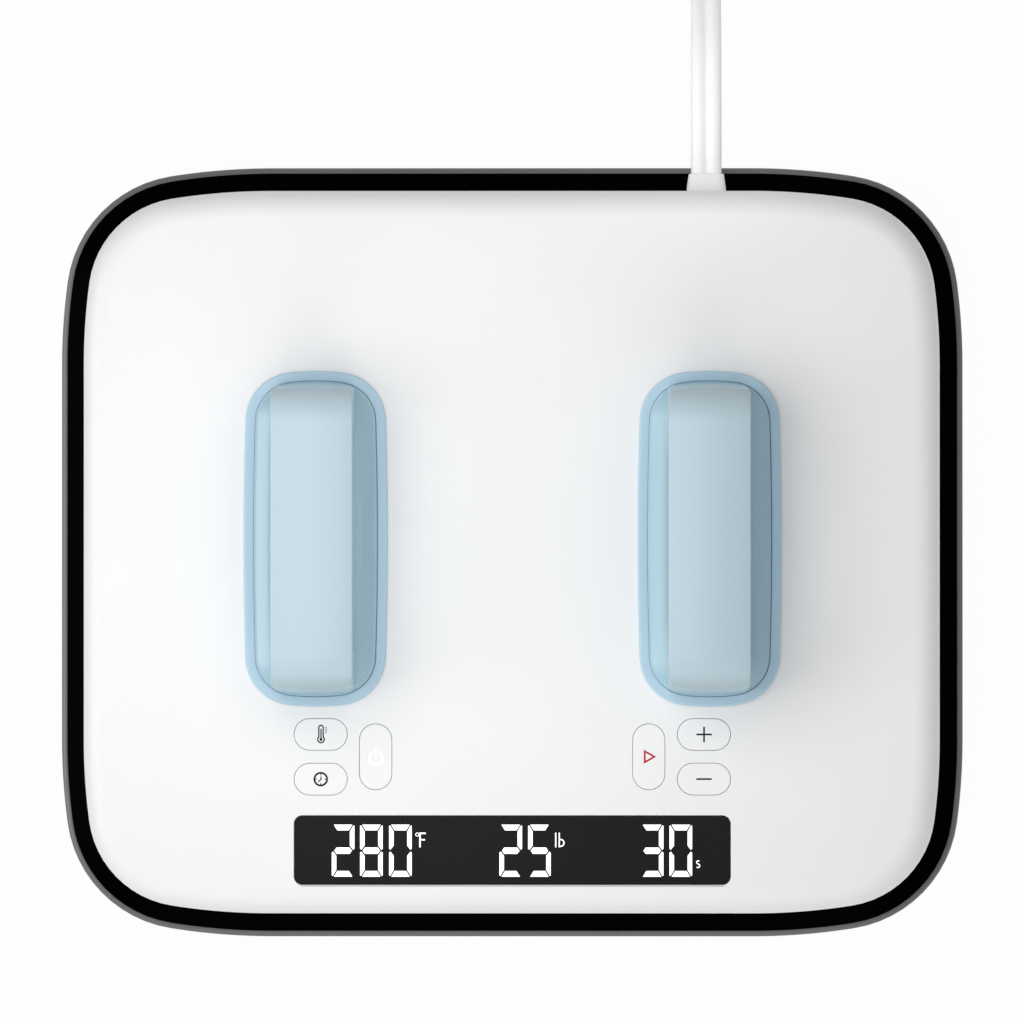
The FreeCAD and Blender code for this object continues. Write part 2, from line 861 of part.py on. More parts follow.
def make_plate_fixings():
    height = D["chassis_height"] - D["plate_thickness"]
    spacers = []
    screws = []
    for i, (x, y) in enumerate(SPACERS):
        outer = cylinder(f"spacer_outer_{i}", x, y, D["plate_thickness"], D["spacer_diameter"], height)
        inner = cylinder(f"spacer_inner_{i}", x, y, D["plate_thickness"], D["spacer_bore"], height)
        spacers.append(cut(f"spacer_{i}", outer, inner))
        reach = chassis_top - D["plate_thickness"] + D["plate_screw_reach"]
        screws.append(
            screw(
                f"plate_screw_{i}",
                x,
                y,
                chassis_top,
                reach,
                D["plate_screw_diameter"],
                D["screw_head_diameter"],
                D["screw_head_height"],
                D["plate_screw_diameter"] * 0.85,
            )
        )
    group("plate_spacers", spacers)
    group("plate_screws", screws)


def make_plate_parts():
    middle = -D["plate_part_offset"]
    body = new_body("thermal_cutout")
    flange = new_sketch(body, "cutout_flange", "XY_Plane", D["plate_thickness"])
    draw_rectangle(flange, middle, 0, D["cutout_flange_length"], D["cutout_flange_width"], 3.0)
    for x, y in sensor_screw_places()[:2]:
        draw_circle(flange, x, y, D["small_screw_diameter"] + D["screw_play"])
    pad(body, flange, D["lug_thickness"])
    can = new_sketch(body, "cutout_can", "XY_Plane", D["plate_thickness"])
    draw_circle(can, middle, 0, D["cutout_diameter"])
    pad(body, can, D["lug_thickness"] + D["cutout_height"])
    dress(body, "Fillet", 0.8, at_height(lug_top + D["cutout_height"]))
    tabs = new_sketch(body, "cutout_tabs", "XY_Plane", lug_top + D["cutout_height"])
    for side in (-1, 1):
        draw_rectangle(tabs, middle + side * D["cutout_diameter"] / 4, 0, 0.8, 6.3)
    pad(body, tabs, 4.0)

    body = new_body("temperature_sensor")
    lug = new_sketch(body, "sensor_lug", "XY_Plane", D["plate_thickness"])
    draw_rectangle(lug, D["plate_part_offset"], 0, D["sensor_length"], D["sensor_width"], 2.0)
    x, y = sensor_screw_places()[2]
    draw_circle(lug, x, y, D["small_screw_diameter"] + D["screw_play"])
    pad(body, lug, D["lug_thickness"])
    bead = new_sketch(body, "sensor_bead", "YZ_Plane", D["plate_part_offset"] - D["sensor_length"] / 2)
    draw_circle(bead, 0, lug_top + D["bead_diameter"] / 2 - 0.3, D["bead_diameter"])
    pad(body, bead, D["sensor_length"] / 2 + 1.5)

    screws = []
    for i, (x, y) in enumerate(sensor_screw_places()):
        screws.append(
            screw(
                f"sensor_screw_{i}",
                x,
                y,
                lug_top,
                D["lug_thickness"] + D["plate_screw_reach"] - 1.0,
                D["small_screw_diameter"],
                D["small_head_diameter"],
                D["small_head_height"],
                D["small_screw_diameter"] * 0.8,
            )
        )
    group("sensor_screws", screws)


def make_insulation():
    """The blanket and the reflector sheet, cut out round everything that rises from the plate."""
    riser_hole = D["heater_diameter"] + 1.2
    spacer_hole = D["spacer_diameter"] + D["seat_gap"] * 2
    body = new_body("insulation_blanket")
    outline = new_sketch(body, "blanket_outline", "XY_Plane", blanket_bottom)
    draw_plate(outline, -D["blanket_margin"])
    for x, y in SPACERS:
        draw_circle(outline, x, y, spacer_hole)
    for x, y in RISERS:
        length = D["heater_riser_bend"] + riser_hole
        draw_rectangle(outline, x + D["heater_riser_bend"] / 2, y, length, riser_hole, riser_hole / 2 - 0.05)
    draw_rectangle(
        outline, -D["plate_part_offset"], 0, D["cutout_flange_length"] + 2, D["cutout_diameter"] + 2, 3.0
    )
    draw_rectangle(outline, D["plate_part_offset"], 0, D["sensor_length"] + 2, D["sensor_width"] + 2, 3.0)
    pad(body, outline, D["blanket_thickness"])

    body = new_body("heat_reflector")
    outline = new_sketch(body, "reflector_outline", "XY_Plane", reflector_bottom)
    draw_plate(outline, -D["reflector_margin"])
    for x, y in SPACERS:
        draw_circle(outline, x, y, spacer_hole)
    for x, y in RISERS:
        draw_circle(outline, x, y, riser_hole)
    pad(body, outline, D["reflector_thickness"])


# Casings


def make_chassis():
    body = new_body("chassis_plate")
    outline = new_sketch(body, "chassis_outline", "XY_Plane", D["chassis_height"])
    draw_oval(outline, 0, 0, HOUSING, D["chassis_inset"])
    for x, y in SPACERS:
        draw_circle(outline, x, y, D["spacer_bore"])
    for x, y in RISERS:
        draw_circle(outline, x, y, D["heater_diameter"] + 2.5)
    for x, y in HOUSING_SCREWS:
        draw_circle(outline, x, y, D["plate_screw_diameter"] + D["screw_play"])
    for x, y in cell_screw_places(-1):
        draw_circle(outline, x, y, D["cell_screw_diameter"] + D["screw_play"])
    for side in (-1, 1):
        x = D["cord_x"] + side * D["clamp_screw_spacing"] / 2
        draw_circle(outline, x, clamp_y, D["small_screw_diameter"] + D["screw_play"])
    pad(body, outline, D["chassis_thickness"])
    standoffs = new_sketch(body, "chassis_standoffs", "XY_Plane", chassis_top)
    for x, y in POWER_HOLES:
        draw_circle(standoffs, x, y, D["board_boss_diameter"])
        draw_circle(standoffs, x, y, D["board_screw_diameter"] + D["screw_play"])
    pad(body, standoffs, D["power_standoff"])


def make_lower_housing():
    """The skirt round the hot plate: a wall, a floor that stops short of the plate, and its posts."""
    body = new_body("lower_housing")
    outline = new_sketch(body, "skirt_outline", "XY_Plane", D["skirt_bottom"])
    draw_oval(outline, 0, 0, HOUSING, 0.0)
    pad(body, outline, D["skirt_top"] - D["skirt_bottom"])
    dress(body, "Fillet", D["skirt_bottom_round"], at_height(D["skirt_bottom"]))
    dress(body, "Fillet", D["skirt_top_round"], at_height(D["skirt_top"]))
    inside = new_sketch(body, "skirt_inside", "XY_Plane", D["skirt_top"])
    draw_oval(inside, 0, 0, HOUSING, D["skirt_wall"])
    pocket(body, inside, D["skirt_top"] - D["skirt_bottom"] - D["skirt_floor"])
    opening = new_sketch(body, "plate_opening", "XY_Plane", D["skirt_top"])
    draw_plate(opening, D["plate_gap"])
    pocket(body, opening)
    floor = D["skirt_bottom"] + D["skirt_floor"]
    posts = new_sketch(body, "skirt_posts", "XY_Plane", floor - D["skirt_floor"] / 2)
    for x, y in HOUSING_SCREWS:
        draw_circle(posts, x, y, D["boss_diameter"])
    for side in (-1, 1):
        draw_circle(posts, side * (half_length - D["rest_inset"]), 0, D["rest_diameter"])
        draw_circle(posts, 0, side * (half_width - D["rest_inset"]), D["rest_diameter"])
    pad(body, posts, D["chassis_height"] - floor + D["skirt_floor"] / 2)
    holes = new_sketch(body, "skirt_screw_holes", "XY_Plane", D["chassis_height"])
    for x, y in HOUSING_SCREWS:
        draw_circle(holes, x, y, D["plate_screw_diameter"] + D["screw_play"])
    pocket(body, holes)
    bores = new_sketch(body, "skirt_counterbores", "XY_Plane", D["skirt_bottom"])
    for x, y in HOUSING_SCREWS:
        draw_circle(bores, x, y, D["screw_head_diameter"] + 0.5)
    pocket(body, bores, D["counterbore_top"] - D["skirt_bottom"], reverse=True)


def make_bezel_ring():
    """The black ring: a slope from the skirt up to the shell, a tongue in the skirt and a flange."""
    body = new_body("bezel_ring")
    lip_top = D["skirt_top"] + D["bezel_lip"]
    lip = new_sketch(body, "bezel_lip", "XY_Plane", D["skirt_top"])
    draw_oval(lip, 0, 0, HOUSING, D["bezel_inset"])
    pad(body, lip, D["bezel_lip"])
    slope_foot = new_sketch(body, "bezel_slope_foot", "XY_Plane", lip_top)
    draw_oval(slope_foot, 0, 0, HOUSING, D["bezel_inset"])
    slope_head = new_sketch(body, "bezel_slope_head", "XY_Plane", bezel_top)
    draw_oval(slope_head, 0, 0, HOUSING, D["shell_inset"] - D["seat_gap"])
    loft(body, "Additive", slope_foot, slope_head)
    tongue_outer = D["skirt_wall"] + D["seat_gap"]
    tongue_inner = tongue_outer + D["bezel_tongue"]
    tongue = new_sketch(body, "bezel_tongue", "XY_Plane", D["skirt_top"] - D["bezel_tongue_depth"])
    draw_oval(tongue, 0, 0, HOUSING, tongue_outer)
    pad(body, tongue, D["bezel_tongue_depth"])
    hollow = new_sketch(body, "bezel_hollow", "XY_Plane", D["skirt_top"])
    draw_oval(hollow, 0, 0, HOUSING, tongue_inner)
    pocket(body, hollow)
    under_foot = new_sketch(body, "bezel_under_foot", "XY_Plane", D["skirt_top"])
    draw_oval(under_foot, 0, 0, HOUSING, tongue_inner)
    under_head = new_sketch(body, "bezel_under_head", "XY_Plane", chassis_top)
    draw_oval(under_head, 0, 0, HOUSING, D["chassis_inset"] - D["seat_gap"])
    loft(body, "Subtractive", under_foot, under_head)
    middle = new_sketch(body, "bezel_opening", "XY_Plane", bezel_top)
    draw_oval(middle, 0, 0, HOUSING, D["bezel_flange_inset"])
    pocket(body, middle)
    holes = new_sketch(body, "bezel_screw_holes", "XY_Plane", bezel_top)
    for x, y in HOUSING_SCREWS:
        draw_circle(holes, x, y, D["plate_screw_diameter"] + D["screw_play"])
    pocket(body, holes)


def make_top_shell():
    body = new_body("top_shell")
    outline = new_sketch(body, "shell_outline", "XY_Plane", bezel_top)
    draw_oval(outline, 0, 0, HOUSING, D["shell_inset"])
    pad(body, outline, D["shell_top"] - bezel_top)
    hollow = new_sketch(body, "shell_hollow", "XY_Plane", bezel_top)
    draw_oval(hollow, 0, 0, HOUSING, D["shell_inset"] + D["shell_wall"])
    pocket(body, hollow, shell_ceiling - bezel_top, reverse=True)
    dress(body, "Fillet", D["shell_round"] - D["shell_wall"], at_height(shell_ceiling))
    dress(body, "Fillet", D["shell_round"], at_height(D["shell_top"]))
    bosses = new_sketch(body, "shell_bosses", "XY_Plane", bezel_top)
    for x, y in HOUSING_SCREWS:
        draw_circle(bosses, x, y, D["boss_diameter"])
    pad(body, bosses, D["shell_boss_top"] - bezel_top)
    boss_holes = new_sketch(body, "shell_boss_holes", "XY_Plane", bezel_top)
    for x, y in HOUSING_SCREWS:
        draw_circle(boss_holes, x, y, D["plate_screw_diameter"] + D["screw_play"])
    pocket(body, boss_holes, D["shell_screw_top"] + 1.0 - bezel_top, reverse=True)
    board_bosses = new_sketch(body, "board_bosses", "XY_Plane", control_board_top)
    for x, y in CONTROL_HOLES:
        draw_circle(board_bosses, x, y, D["board_boss_diameter"])
    pad(body, board_bosses, shell_ceiling + 0.5 - control_board_top)
    display_bosses = new_sketch(body, "display_bosses", "XY_Plane", D["display_board_top"])
    for side in (-1, 1):
        draw_circle(display_bosses, side * display_hole_x, window_y, D["board_boss_diameter"])
    pad(body, display_bosses, shell_ceiling + 0.5 - D["display_board_top"])
    board_holes = new_sketch(body, "board_boss_holes", "XY_Plane", control_board_top)
    for x, y in CONTROL_HOLES:
        draw_circle(board_holes, x, y, D["board_screw_diameter"] + D["screw_play"])
    pocket(body, board_holes, D["board_screw_reach"] + 0.5, reverse=True)
    display_holes = new_sketch(body, "display_boss_holes", "XY_Plane", D["display_board_top"])
    for side in (-1, 1):
        x = side * display_hole_x
        draw_circle(display_holes, x, window_y, D["board_screw_diameter"] + D["screw_play"])
    pocket(body, display_holes, D["board_screw_reach"] - 0.5, reverse=True)
    recess = new_sketch(body, "window_recess", "XY_Plane", D["shell_top"])
    draw_rectangle(recess, 0, window_y, D["window_length"], D["window_width"], D["window_corner"])
    pocket(body, recess, D["window_thickness"])
    light_way = new_sketch(body, "window_opening", "XY_Plane", D["shell_top"])
    draw_rectangle(
        light_way,
        0,
        window_y,
        D["window_length"] - D["window_ledge_x"] * 2,
        D["window_width"] - D["window_ledge_y"] * 2,
        1.5,
    )
    pocket(body, light_way, D["shell_wall"] + 1.0)
    ways = new_sketch(body, "button_holes", "XY_Plane", D["shell_top"])
    for name, x, y, (length, width) in BUTTONS:
        draw_rectangle(ways, x, y, length, width, narrow_side(length, width) / 2 - 0.05)
    pocket(body, ways, D["shell_wall"] + 1.0)
    posts = new_sketch(body, "post_holes", "XY_Plane", D["shell_top"])
    for name, x in HANDLES:
        for side in (-1, 1):
            y = handle_shift + side * D["post_spacing"] / 2
            draw_circle(posts, x, y, D["post_diameter"] + 1.0)
            for across in (-1, 1):
                draw_circle(posts, *peg_place(x, side, across), D["peg_diameter"] + D["screw_play"])
    pocket(body, posts, D["shell_wall"] + 1.0)
    back = new_sketch(body, "boot_hole", "XZ_Plane", -half_width)
    draw_rectangle(
        back, D["cord_x"], D["cord_height"], D["boot_width"] + 0.5, D["boot_height"] + 0.5, 3.5
    )
    pocket(body, back, D["shell_inset"] + D["shell_wall"] + 4.0, reverse=True)


def narrow_side(length, width):
    return length if length.value < width.value else width


def peg_place(x, side, across):
    """Where a flange's peg goes through the shell."""
    away = D["flange_half_width"] - D["peg_diameter"]
    return x + across * away, handle_shift + side * D["gap_half_length"] * 0.8


def make_housing_screws():
    screws = []
    for i, (x, y) in enumerate(HOUSING_SCREWS):
        screws.append(
            screw(
                f"housing_screw_{i}",
                x,
                y,
                D["counterbore_top"],
                D["shell_screw_top"] - D["counterbore_top"],
                D["plate_screw_diameter"],
                D["screw_head_diameter"],
                D["screw_head_height"],
                D["plate_screw_diameter"] * 0.85,
                upwards=False,
            )
        )
    group("housing_screws", screws)


# Handles


def draw_side_profile(sketch, shift, low, high):
    """What is cut away outside the arch, seen from the side: two mirrored corners with a rounded shoulder."""
    half = D["flange_half_length"] - D["flange_rim"] - D["seam"]
    top = D["handle_top"]
    shoulder = half - D["pillar_lean"]
    radius = D["pillar_top_round"]
    out = D["flange_half_length"] + 4.0
    for side in (-1, 1):
        # The wall leans from the foot to the shoulder, then turns onto the flat top
        foot = (shift + side * (half + 0.5), low)
        neck = (shift + side * shoulder, top - radius)
        crest = (shift + side * (shoulder - radius), top)
        rim = (shift + side * out, top)
        heel = (shift + side * out, low)
        first = sketch.GeometryCount
        sketch.addGeometry(Part.LineSegment(vector(*foot, 0), vector(*neck, 0)), False)
        middle = (neck[0] - side * radius, neck[1])
        circle = Part.Circle(vector(*middle, 0), vector(0, 0, 1), radius.value)
        start, finish = (0, math.pi / 2) if side > 0 else (math.pi / 2, math.pi)
        sketch.addGeometry(Part.ArcOfCircle(circle, start, finish), False)
        sketch.addGeometry(Part.LineSegment(vector(*crest, 0), vector(*rim, 0)), False)
        sketch.addGeometry(Part.LineSegment(vector(*rim, 0), vector(*heel, 0)), False)
        sketch.addGeometry(Part.LineSegment(vector(*heel, 0), vector(*foot, 0)), False)
        neck_end, crest_end = (1, 2) if side > 0 else (2, 1)
        hold(sketch, "Coincident", first, 2, first + 1, neck_end)
        hold(sketch, "Coincident", first + 1, crest_end, first + 2, 1)
        hold(sketch, "Coincident", first + 2, 2, first + 3, 1)
        hold(sketch, "Coincident", first + 3, 2, first + 4, 1)
        hold(sketch, "Coincident", first + 4, 2, first, 1)
        place_point(sketch, first, 1, *foot)
        place_point(sketch, first, 2, *neck)
        hold(sketch, "Radius", first + 1, radius)
        place_point(sketch, first + 2, 1, *crest)
        place_point(sketch, first + 2, 2, *rim)
        place_point(sketch, first + 3, 2, *heel)


def handle_block(body, name, x, low, high):
    """The handle's oval prism between two heights, cut by the arch's side profile."""
    prism = new_sketch(body, f"{name}_prism", "XY_Plane", low)
    draw_oval(prism, x, handle_shift, FLANGE, D["flange_rim"] + D["seam"])
    pad(body, prism, high - low)
    side = new_sketch(body, f"{name}_side", "YZ_Plane", x)
    draw_side_profile(side, handle_shift, D["foot_edge"], high)
    pocket(body, side, D["flange_half_width"] * 3, symmetric=True)


def make_handle(name, x):
    shift = handle_shift
    rim = D["flange_rim"]

    body = new_body(f"{name}_handle_flange")
    outline = new_sketch(body, f"{name}_flange_outline", "XY_Plane", D["shell_top"])
    draw_oval(outline, x, shift, FLANGE, 0.0)
    pad(body, outline, D["flange_height"])
    dress(body, "Fillet", D["flange_round"], at_height(D["shell_top"] + D["flange_height"]))
    well = new_sketch(body, f"{name}_flange_well", "XY_Plane", D["shell_top"] + D["flange_height"])
    draw_oval(well, x, shift, FLANGE, rim)
    pocket(body, well, D["flange_height"] - D["flange_floor"])
    way = new_sketch(body, f"{name}_flange_way", "XY_Plane", D["shell_top"] + D["flange_height"])
    draw_oval(way, x, shift, FLANGE, D["flange_floor_width"])
    pocket(body, way)
    pegs = new_sketch(body, f"{name}_flange_pegs", "XY_Plane", D["shell_top"] + D["flange_floor"] / 2)
    for side in (-1, 1):
        for across in (-1, 1):
            draw_circle(pegs, *peg_place(x, side, across), D["peg_diameter"])
    pad(body, pegs, D["flange_floor"] / 2 + D["shell_wall"] + 1.0, reverse=True)

    bottom = D["shell_top"] + D["flange_floor"] + D["seat_gap"]
    body = new_body(f"{name}_handle_body")
    handle_block(body, f"{name}_arch", x, bottom, grip_split)
    front = new_sketch(body, f"{name}_sides", "XZ_Plane", -shift)
    half = D["grip_width"] / 2
    outside = D["flange_half_width"] + 4.0
    seam_edge = D["flange_half_width"] - rim - D["seam"]
    for side in (-1, 1):
        draw_polygon_on(
            front,
            [
                (x + side * half, grip_split + 1.0),
                (x + side * half, D["foot_shoulder"]),
                (x + side * seam_edge, D["foot_edge"]),
                (x + side * outside, D["foot_edge"]),
                (x + side * outside, grip_split + 1.0),
            ],
        )
    pocket(body, front, D["flange_half_length"] * 3, symmetric=True)
    gap = new_sketch(body, f"{name}_finger_gap", "YZ_Plane", x)
    gap_bottom = D["foot_shoulder"] - 2.0
    draw_rectangle(
        gap,
        shift,
        (grip_bottom + gap_bottom) / 2,
        D["gap_half_length"] * 2,
        grip_bottom - gap_bottom,
        D["gap_corner"] - 2.2,
    )
    pocket(body, gap, D["flange_half_width"] * 3, symmetric=True)
    dress(body, "Fillet", D["grip_underside_round"], grip_underside_edges(x, half))
    posts = new_sketch(body, f"{name}_posts", "XY_Plane", bridge_top)
    for side in (-1, 1):
        draw_circle(posts, x, shift + side * D["post_spacing"] / 2, D["post_diameter"])
    pad(body, posts, bottom + 2.0 - bridge_top)
    rod_path = new_sketch(body, f"{name}_rod_way_path", "YZ_Plane", x)
    draw_rod_path(rod_path, bridge_top - 4.0)
    rod_profile = new_sketch(body, f"{name}_rod_way_profile", "XY_Plane", bridge_top - 4.0)
    draw_circle(
        rod_profile, x, shift - D["post_spacing"] / 2, D["rod_diameter"] + D["rod_play"] * 2
    )
    pipe(body, "Subtractive", rod_profile, rod_path)
    trough = new_sketch(body, f"{name}_rod_trough", "XY_Plane", grip_split)
    width = D["rod_diameter"] + D["rod_play"] * 2
    draw_rectangle(trough, x, shift, width, D["post_spacing"])
    pocket(body, trough, grip_split - rod_top)
    wells = new_sketch(body, f"{name}_rod_wells", "XY_Plane", grip_split)
    for side in (-1, 1):
        draw_circle(wells, x, shift + side * D["post_spacing"] / 2, width + D["rod_play"] * 2)
    pocket(body, wells, grip_split - rod_top + D["rod_bend"])

    cover = new_body(f"{name}_grip_cover")
    handle_block(cover, f"{name}_cover", x, grip_split, D["handle_top"])
    sides = new_sketch(cover, f"{name}_cover_sides", "XZ_Plane", -shift)
    for side in (-1, 1):
        draw_polygon_on(
            sides,
            [
                (x + side * half, D["handle_top"] + 1.0),
                (x + side * half, grip_split - 1.0),
                (x + side * outside, grip_split - 1.0),
                (x + side * outside, D["handle_top"] + 1.0),
            ],
        )
    pocket(cover, sides, D["flange_half_length"] * 3, symmetric=True)
    dress(cover, "Fillet", D["grip_edge_round"], long_top_edges(x, half))

    core = new_body(f"{name}_handle_core")
    path = new_sketch(core, f"{name}_rod_path", "YZ_Plane", x)
    draw_rod_path(path, D["rod_bottom"])
    profile = new_sketch(core, f"{name}_rod_profile", "XY_Plane", D["rod_bottom"])
    draw_circle(profile, x, shift - D["post_spacing"] / 2, D["rod_diameter"])
    pipe(core, "Additive", profile, path)


def draw_polygon_on(sketch, points):
    """A closed polygon beside what the sketch already holds."""
    first = sketch.GeometryCount
    count = len(points)
    for i in range(count):
        ends = vector(*points[i], 0), vector(*points[(i + 1) % count], 0)
        sketch.addGeometry(Part.LineSegment(*ends), False)
    for i in range(count):
        hold(sketch, "Coincident", first + i, 2, first + (i + 1) % count, 1)
        place_point(sketch, first + i, 1, *points[i])


def long_top_edges(x, half):
    """A test for the edges along the grip's two sides at its crest."""

    def test(edge):
        bounds = edge.BoundBox
        along_side = abs(abs(bounds.Center.x - float(x)) - float(half)) < 1e-3 and bounds.XLength < 1e-3
        return along_side and bounds.ZMax > float(grip_split) + 0.5 and bounds.YLength > 1.0

    return test


def grip_underside_edges(x, half):
    """A test for the two long edges under the grip."""

    def test(edge):
        bounds = edge.BoundBox
        along_side = abs(abs(bounds.Center.x - float(x)) - float(half)) < 1e-3 and bounds.XLength < 1e-3
        return along_side and abs(bounds.ZMin - float(grip_bottom)) < 1e-3 and bounds.ZLength < 1e-3

    return test


def draw_rod_path(sketch, low):
    """An open staple: up one leg, over a bend, along the grip, and down the other leg."""
    shift, reach, bend, top = handle_shift, D["post_spacing"] / 2, D["rod_bend"], rod_top
    left, right = shift - reach, shift + reach
    points = [
        (left, low),
        (left, top - bend),
        (left + bend, top),
        (right - bend, top),
        (right, top - bend),
        (right, low),
    ]
    for i in (0, 2, 4):
        sketch.addGeometry(Part.LineSegment(vector(*points[i], 0), vector(*points[i + 1], 0)), False)
        line = sketch.GeometryCount - 1
        place_point(sketch, line, 1, *points[i])
        place_point(sketch, line, 2, *points[i + 1])
    for middle, start, first, last in (
        (left + bend, math.pi / 2, 1, 0),
        (right - bend, 0.0, 2, 1),
    ):
        circle = Part.Circle(vector(middle, top - bend, 0), vector(0, 0, 1), bend.value)
        arc = sketch.addGeometry(Part.ArcOfCircle(circle, start, start + math.pi / 2), False)
        # Each arc starts at its right end, so the path meets its second point first
        hold(sketch, "Coincident", arc, 2, last, 2)
        hold(sketch, "Coincident", arc, 1, last + 1, 1)
        hold(sketch, "Radius", arc, bend)


def make_handle_nuts():
    nuts = []
    for name, x in HANDLES:
        for side in (-1, 1):
            y = handle_shift + side * D["post_spacing"] / 2
            key = f"{name}_nut_{'front' if side < 0 else 'back'}"
            base = bridge_bottom - D["nut_height"]
            solid = hexagon(f"{key}_solid", x, y, base, D["nut_across_corners"], D["nut_height"])
            bore = cylinder(f"{key}_bore", x, y, base, D["rod_diameter"] + D["screw_play"], D["nut_height"])
            nuts.append(cut(key, solid, bore))
    group("handle_nuts", nuts)


# Load cells


def cell_screw_places(end):
    """The screw places at the fixed end (-1) or the loaded end (1) of both load cells."""
    return [
        (x, handle_shift + end * place)
        for name, x in HANDLES
        for place in (cell_hole_near, cell_hole_far)
    ]


def make_load_cells():
    shift = handle_shift
    for name, x in HANDLES:
        body = new_body(f"{name}_load_cell")
        bar = new_sketch(body, f"{name}_cell_bar", "XY_Plane", cell_bottom)
        draw_rectangle(bar, x, shift, D["cell_width"], D["cell_length"])
        pad(body, bar, D["cell_height"])
        window = new_sketch(body, f"{name}_cell_window", "YZ_Plane", x)
        middle = cell_bottom + D["cell_height"] / 2
        draw_rectangle(
            window,
            shift,
            middle,
            D["cell_window_spacing"] + D["cell_window"],
            D["cell_window"] * 0.8,
            D["cell_window"] * 0.4 - 0.05,
        )
        pocket(body, window, D["cell_width"] + 4, symmetric=True)
        holes = new_sketch(body, f"{name}_cell_holes", "XY_Plane", cell_top)
        for end in (-1, 1):
            for place in (cell_hole_near, cell_hole_far):
                draw_circle(holes, x, shift + end * place, D["cell_screw_diameter"] + D["screw_play"])
        pocket(body, holes)

        body = new_body(f"{name}_load_bridge")
        plate = new_sketch(body, f"{name}_bridge_plate", "XY_Plane", bridge_bottom)
        length = D["post_spacing"] + D["bridge_end_margin"] * 2
        draw_rectangle(plate, x, shift, D["bridge_width"], length, 6.0)
        for side in (-1, 1):
            y = shift + side * D["post_spacing"] / 2
            draw_circle(plate, x, y, D["rod_diameter"] + D["rod_play"] * 2)
        for place in (cell_hole_near, cell_hole_far):
            draw_circle(plate, x, shift + place, D["cell_screw_diameter"] + D["screw_play"])
        pad(body, plate, D["bridge_thickness"])

    spacers = []
    screws = []
    for end, base in ((-1, chassis_top), (1, cell_top)):
        for name, x in HANDLES:
            key = f"{name}_{'fixed' if end < 0 else 'loaded'}"
            y = shift + end * cell_pad_middle
            block = box(
                f"{key}_block",
                x,
                y,
                base,
                D["cell_width"],
                D["cell_spacer_length"],
                D["cell_spacer_thickness"],
            )
            bores = join(
                f"{key}_bores",
                *[
                    cylinder(
                        f"{key}_bore_{i}",
                        x,
                        shift + end * place,
                        base,
                        D["cell_screw_diameter"] + D["screw_play"],
                        D["cell_spacer_thickness"],
                    )
                    for i, place in enumerate((cell_hole_near, cell_hole_far))
                ],
            )
            spacers.append(cut(f"{key}_spacer", block, bores))
    group("load_cell_spacers", spacers)
    reach = D["cell_spacer_thickness"] + D["cell_height"] * 0.6
    for end, seat, upwards in ((-1, D["chassis_height"], False), (1, bridge_top, True)):
        extra = D["bridge_thickness"] if upwards else D["chassis_thickness"]
        for i, (x, y) in enumerate(cell_screw_places(end)):
            screws.append(
                screw(
                    f"cell_screw_{'loaded' if upwards else 'fixed'}_{i}",
                    x,
                    y,
                    seat,
                    reach + extra,
                    D["cell_screw_diameter"],
                    D["cell_screw_diameter"] * 1.7,
                    D["screw_head_height"],
                    D["cell_screw_diameter"] * 0.8,
                    upwards=upwards,
                )
            )
    group("load_cell_screws", screws)


# Buttons and switches


def make_buttons():
    switches = []
    for name, x, y, (length, width) in BUTTONS:
        body = new_body(f"{name}_button")
        cap_length = length - D["button_gap"] * 2
        cap_width = width - D["button_gap"] * 2
        cap = new_sketch(body, f"{name}_cap", "XY_Plane", button_flange_bottom)
        draw_rectangle(cap, x, y, cap_length, cap_width, narrow_side(cap_length, cap_width) / 2 - 0.05)
        pad(body, cap, D["shell_top"] - button_flange_bottom)
        dress(body, "Fillet", D["button_round"], at_height(D["shell_top"]))
        rim_length = length + D["button_flange"] * 2
        rim_width = width + D["button_flange"] * 2
        rim = new_sketch(body, f"{name}_rim", "XY_Plane", button_flange_bottom)
        draw_rectangle(rim, x, y, rim_length, rim_width, narrow_side(rim_length, rim_width) / 2 - 0.05)
        pad(body, rim, D["button_flange"])
        stem = new_sketch(body, f"{name}_stem", "XY_Plane", plunger_top)
        draw_circle(stem, x, y, D["button_stem_diameter"])
        pad(body, stem, button_flange_bottom + D["button_flange"] / 2 - plunger_top)

        base = switch_top - D["plunger_height"] + D["button_travel"]
        plunger = cylinder(
            f"{name}_plunger", x, y, base, D["plunger_diameter"], plunger_top - base
        )
        keep(plunger, f"{name}_switch_plunger")

        case = box(
            f"{name}_switch_case",
            x,
            y,
            control_board_top,
            D["switch_size"],
            D["switch_size"],
            D["switch_height"],
        )
        well_bottom = base - D["button_travel"] - D["plunger_play"] / 2
        well = cylinder(
            f"{name}_switch_well",
            x,
            y,
            well_bottom,
            D["plunger_diameter"] + D["plunger_play"],
            switch_top + 1.0 - well_bottom,
        )
        switches.append(cut(f"{name}_switch", case, well))
    group("tact_switches", switches)


# Boards and display


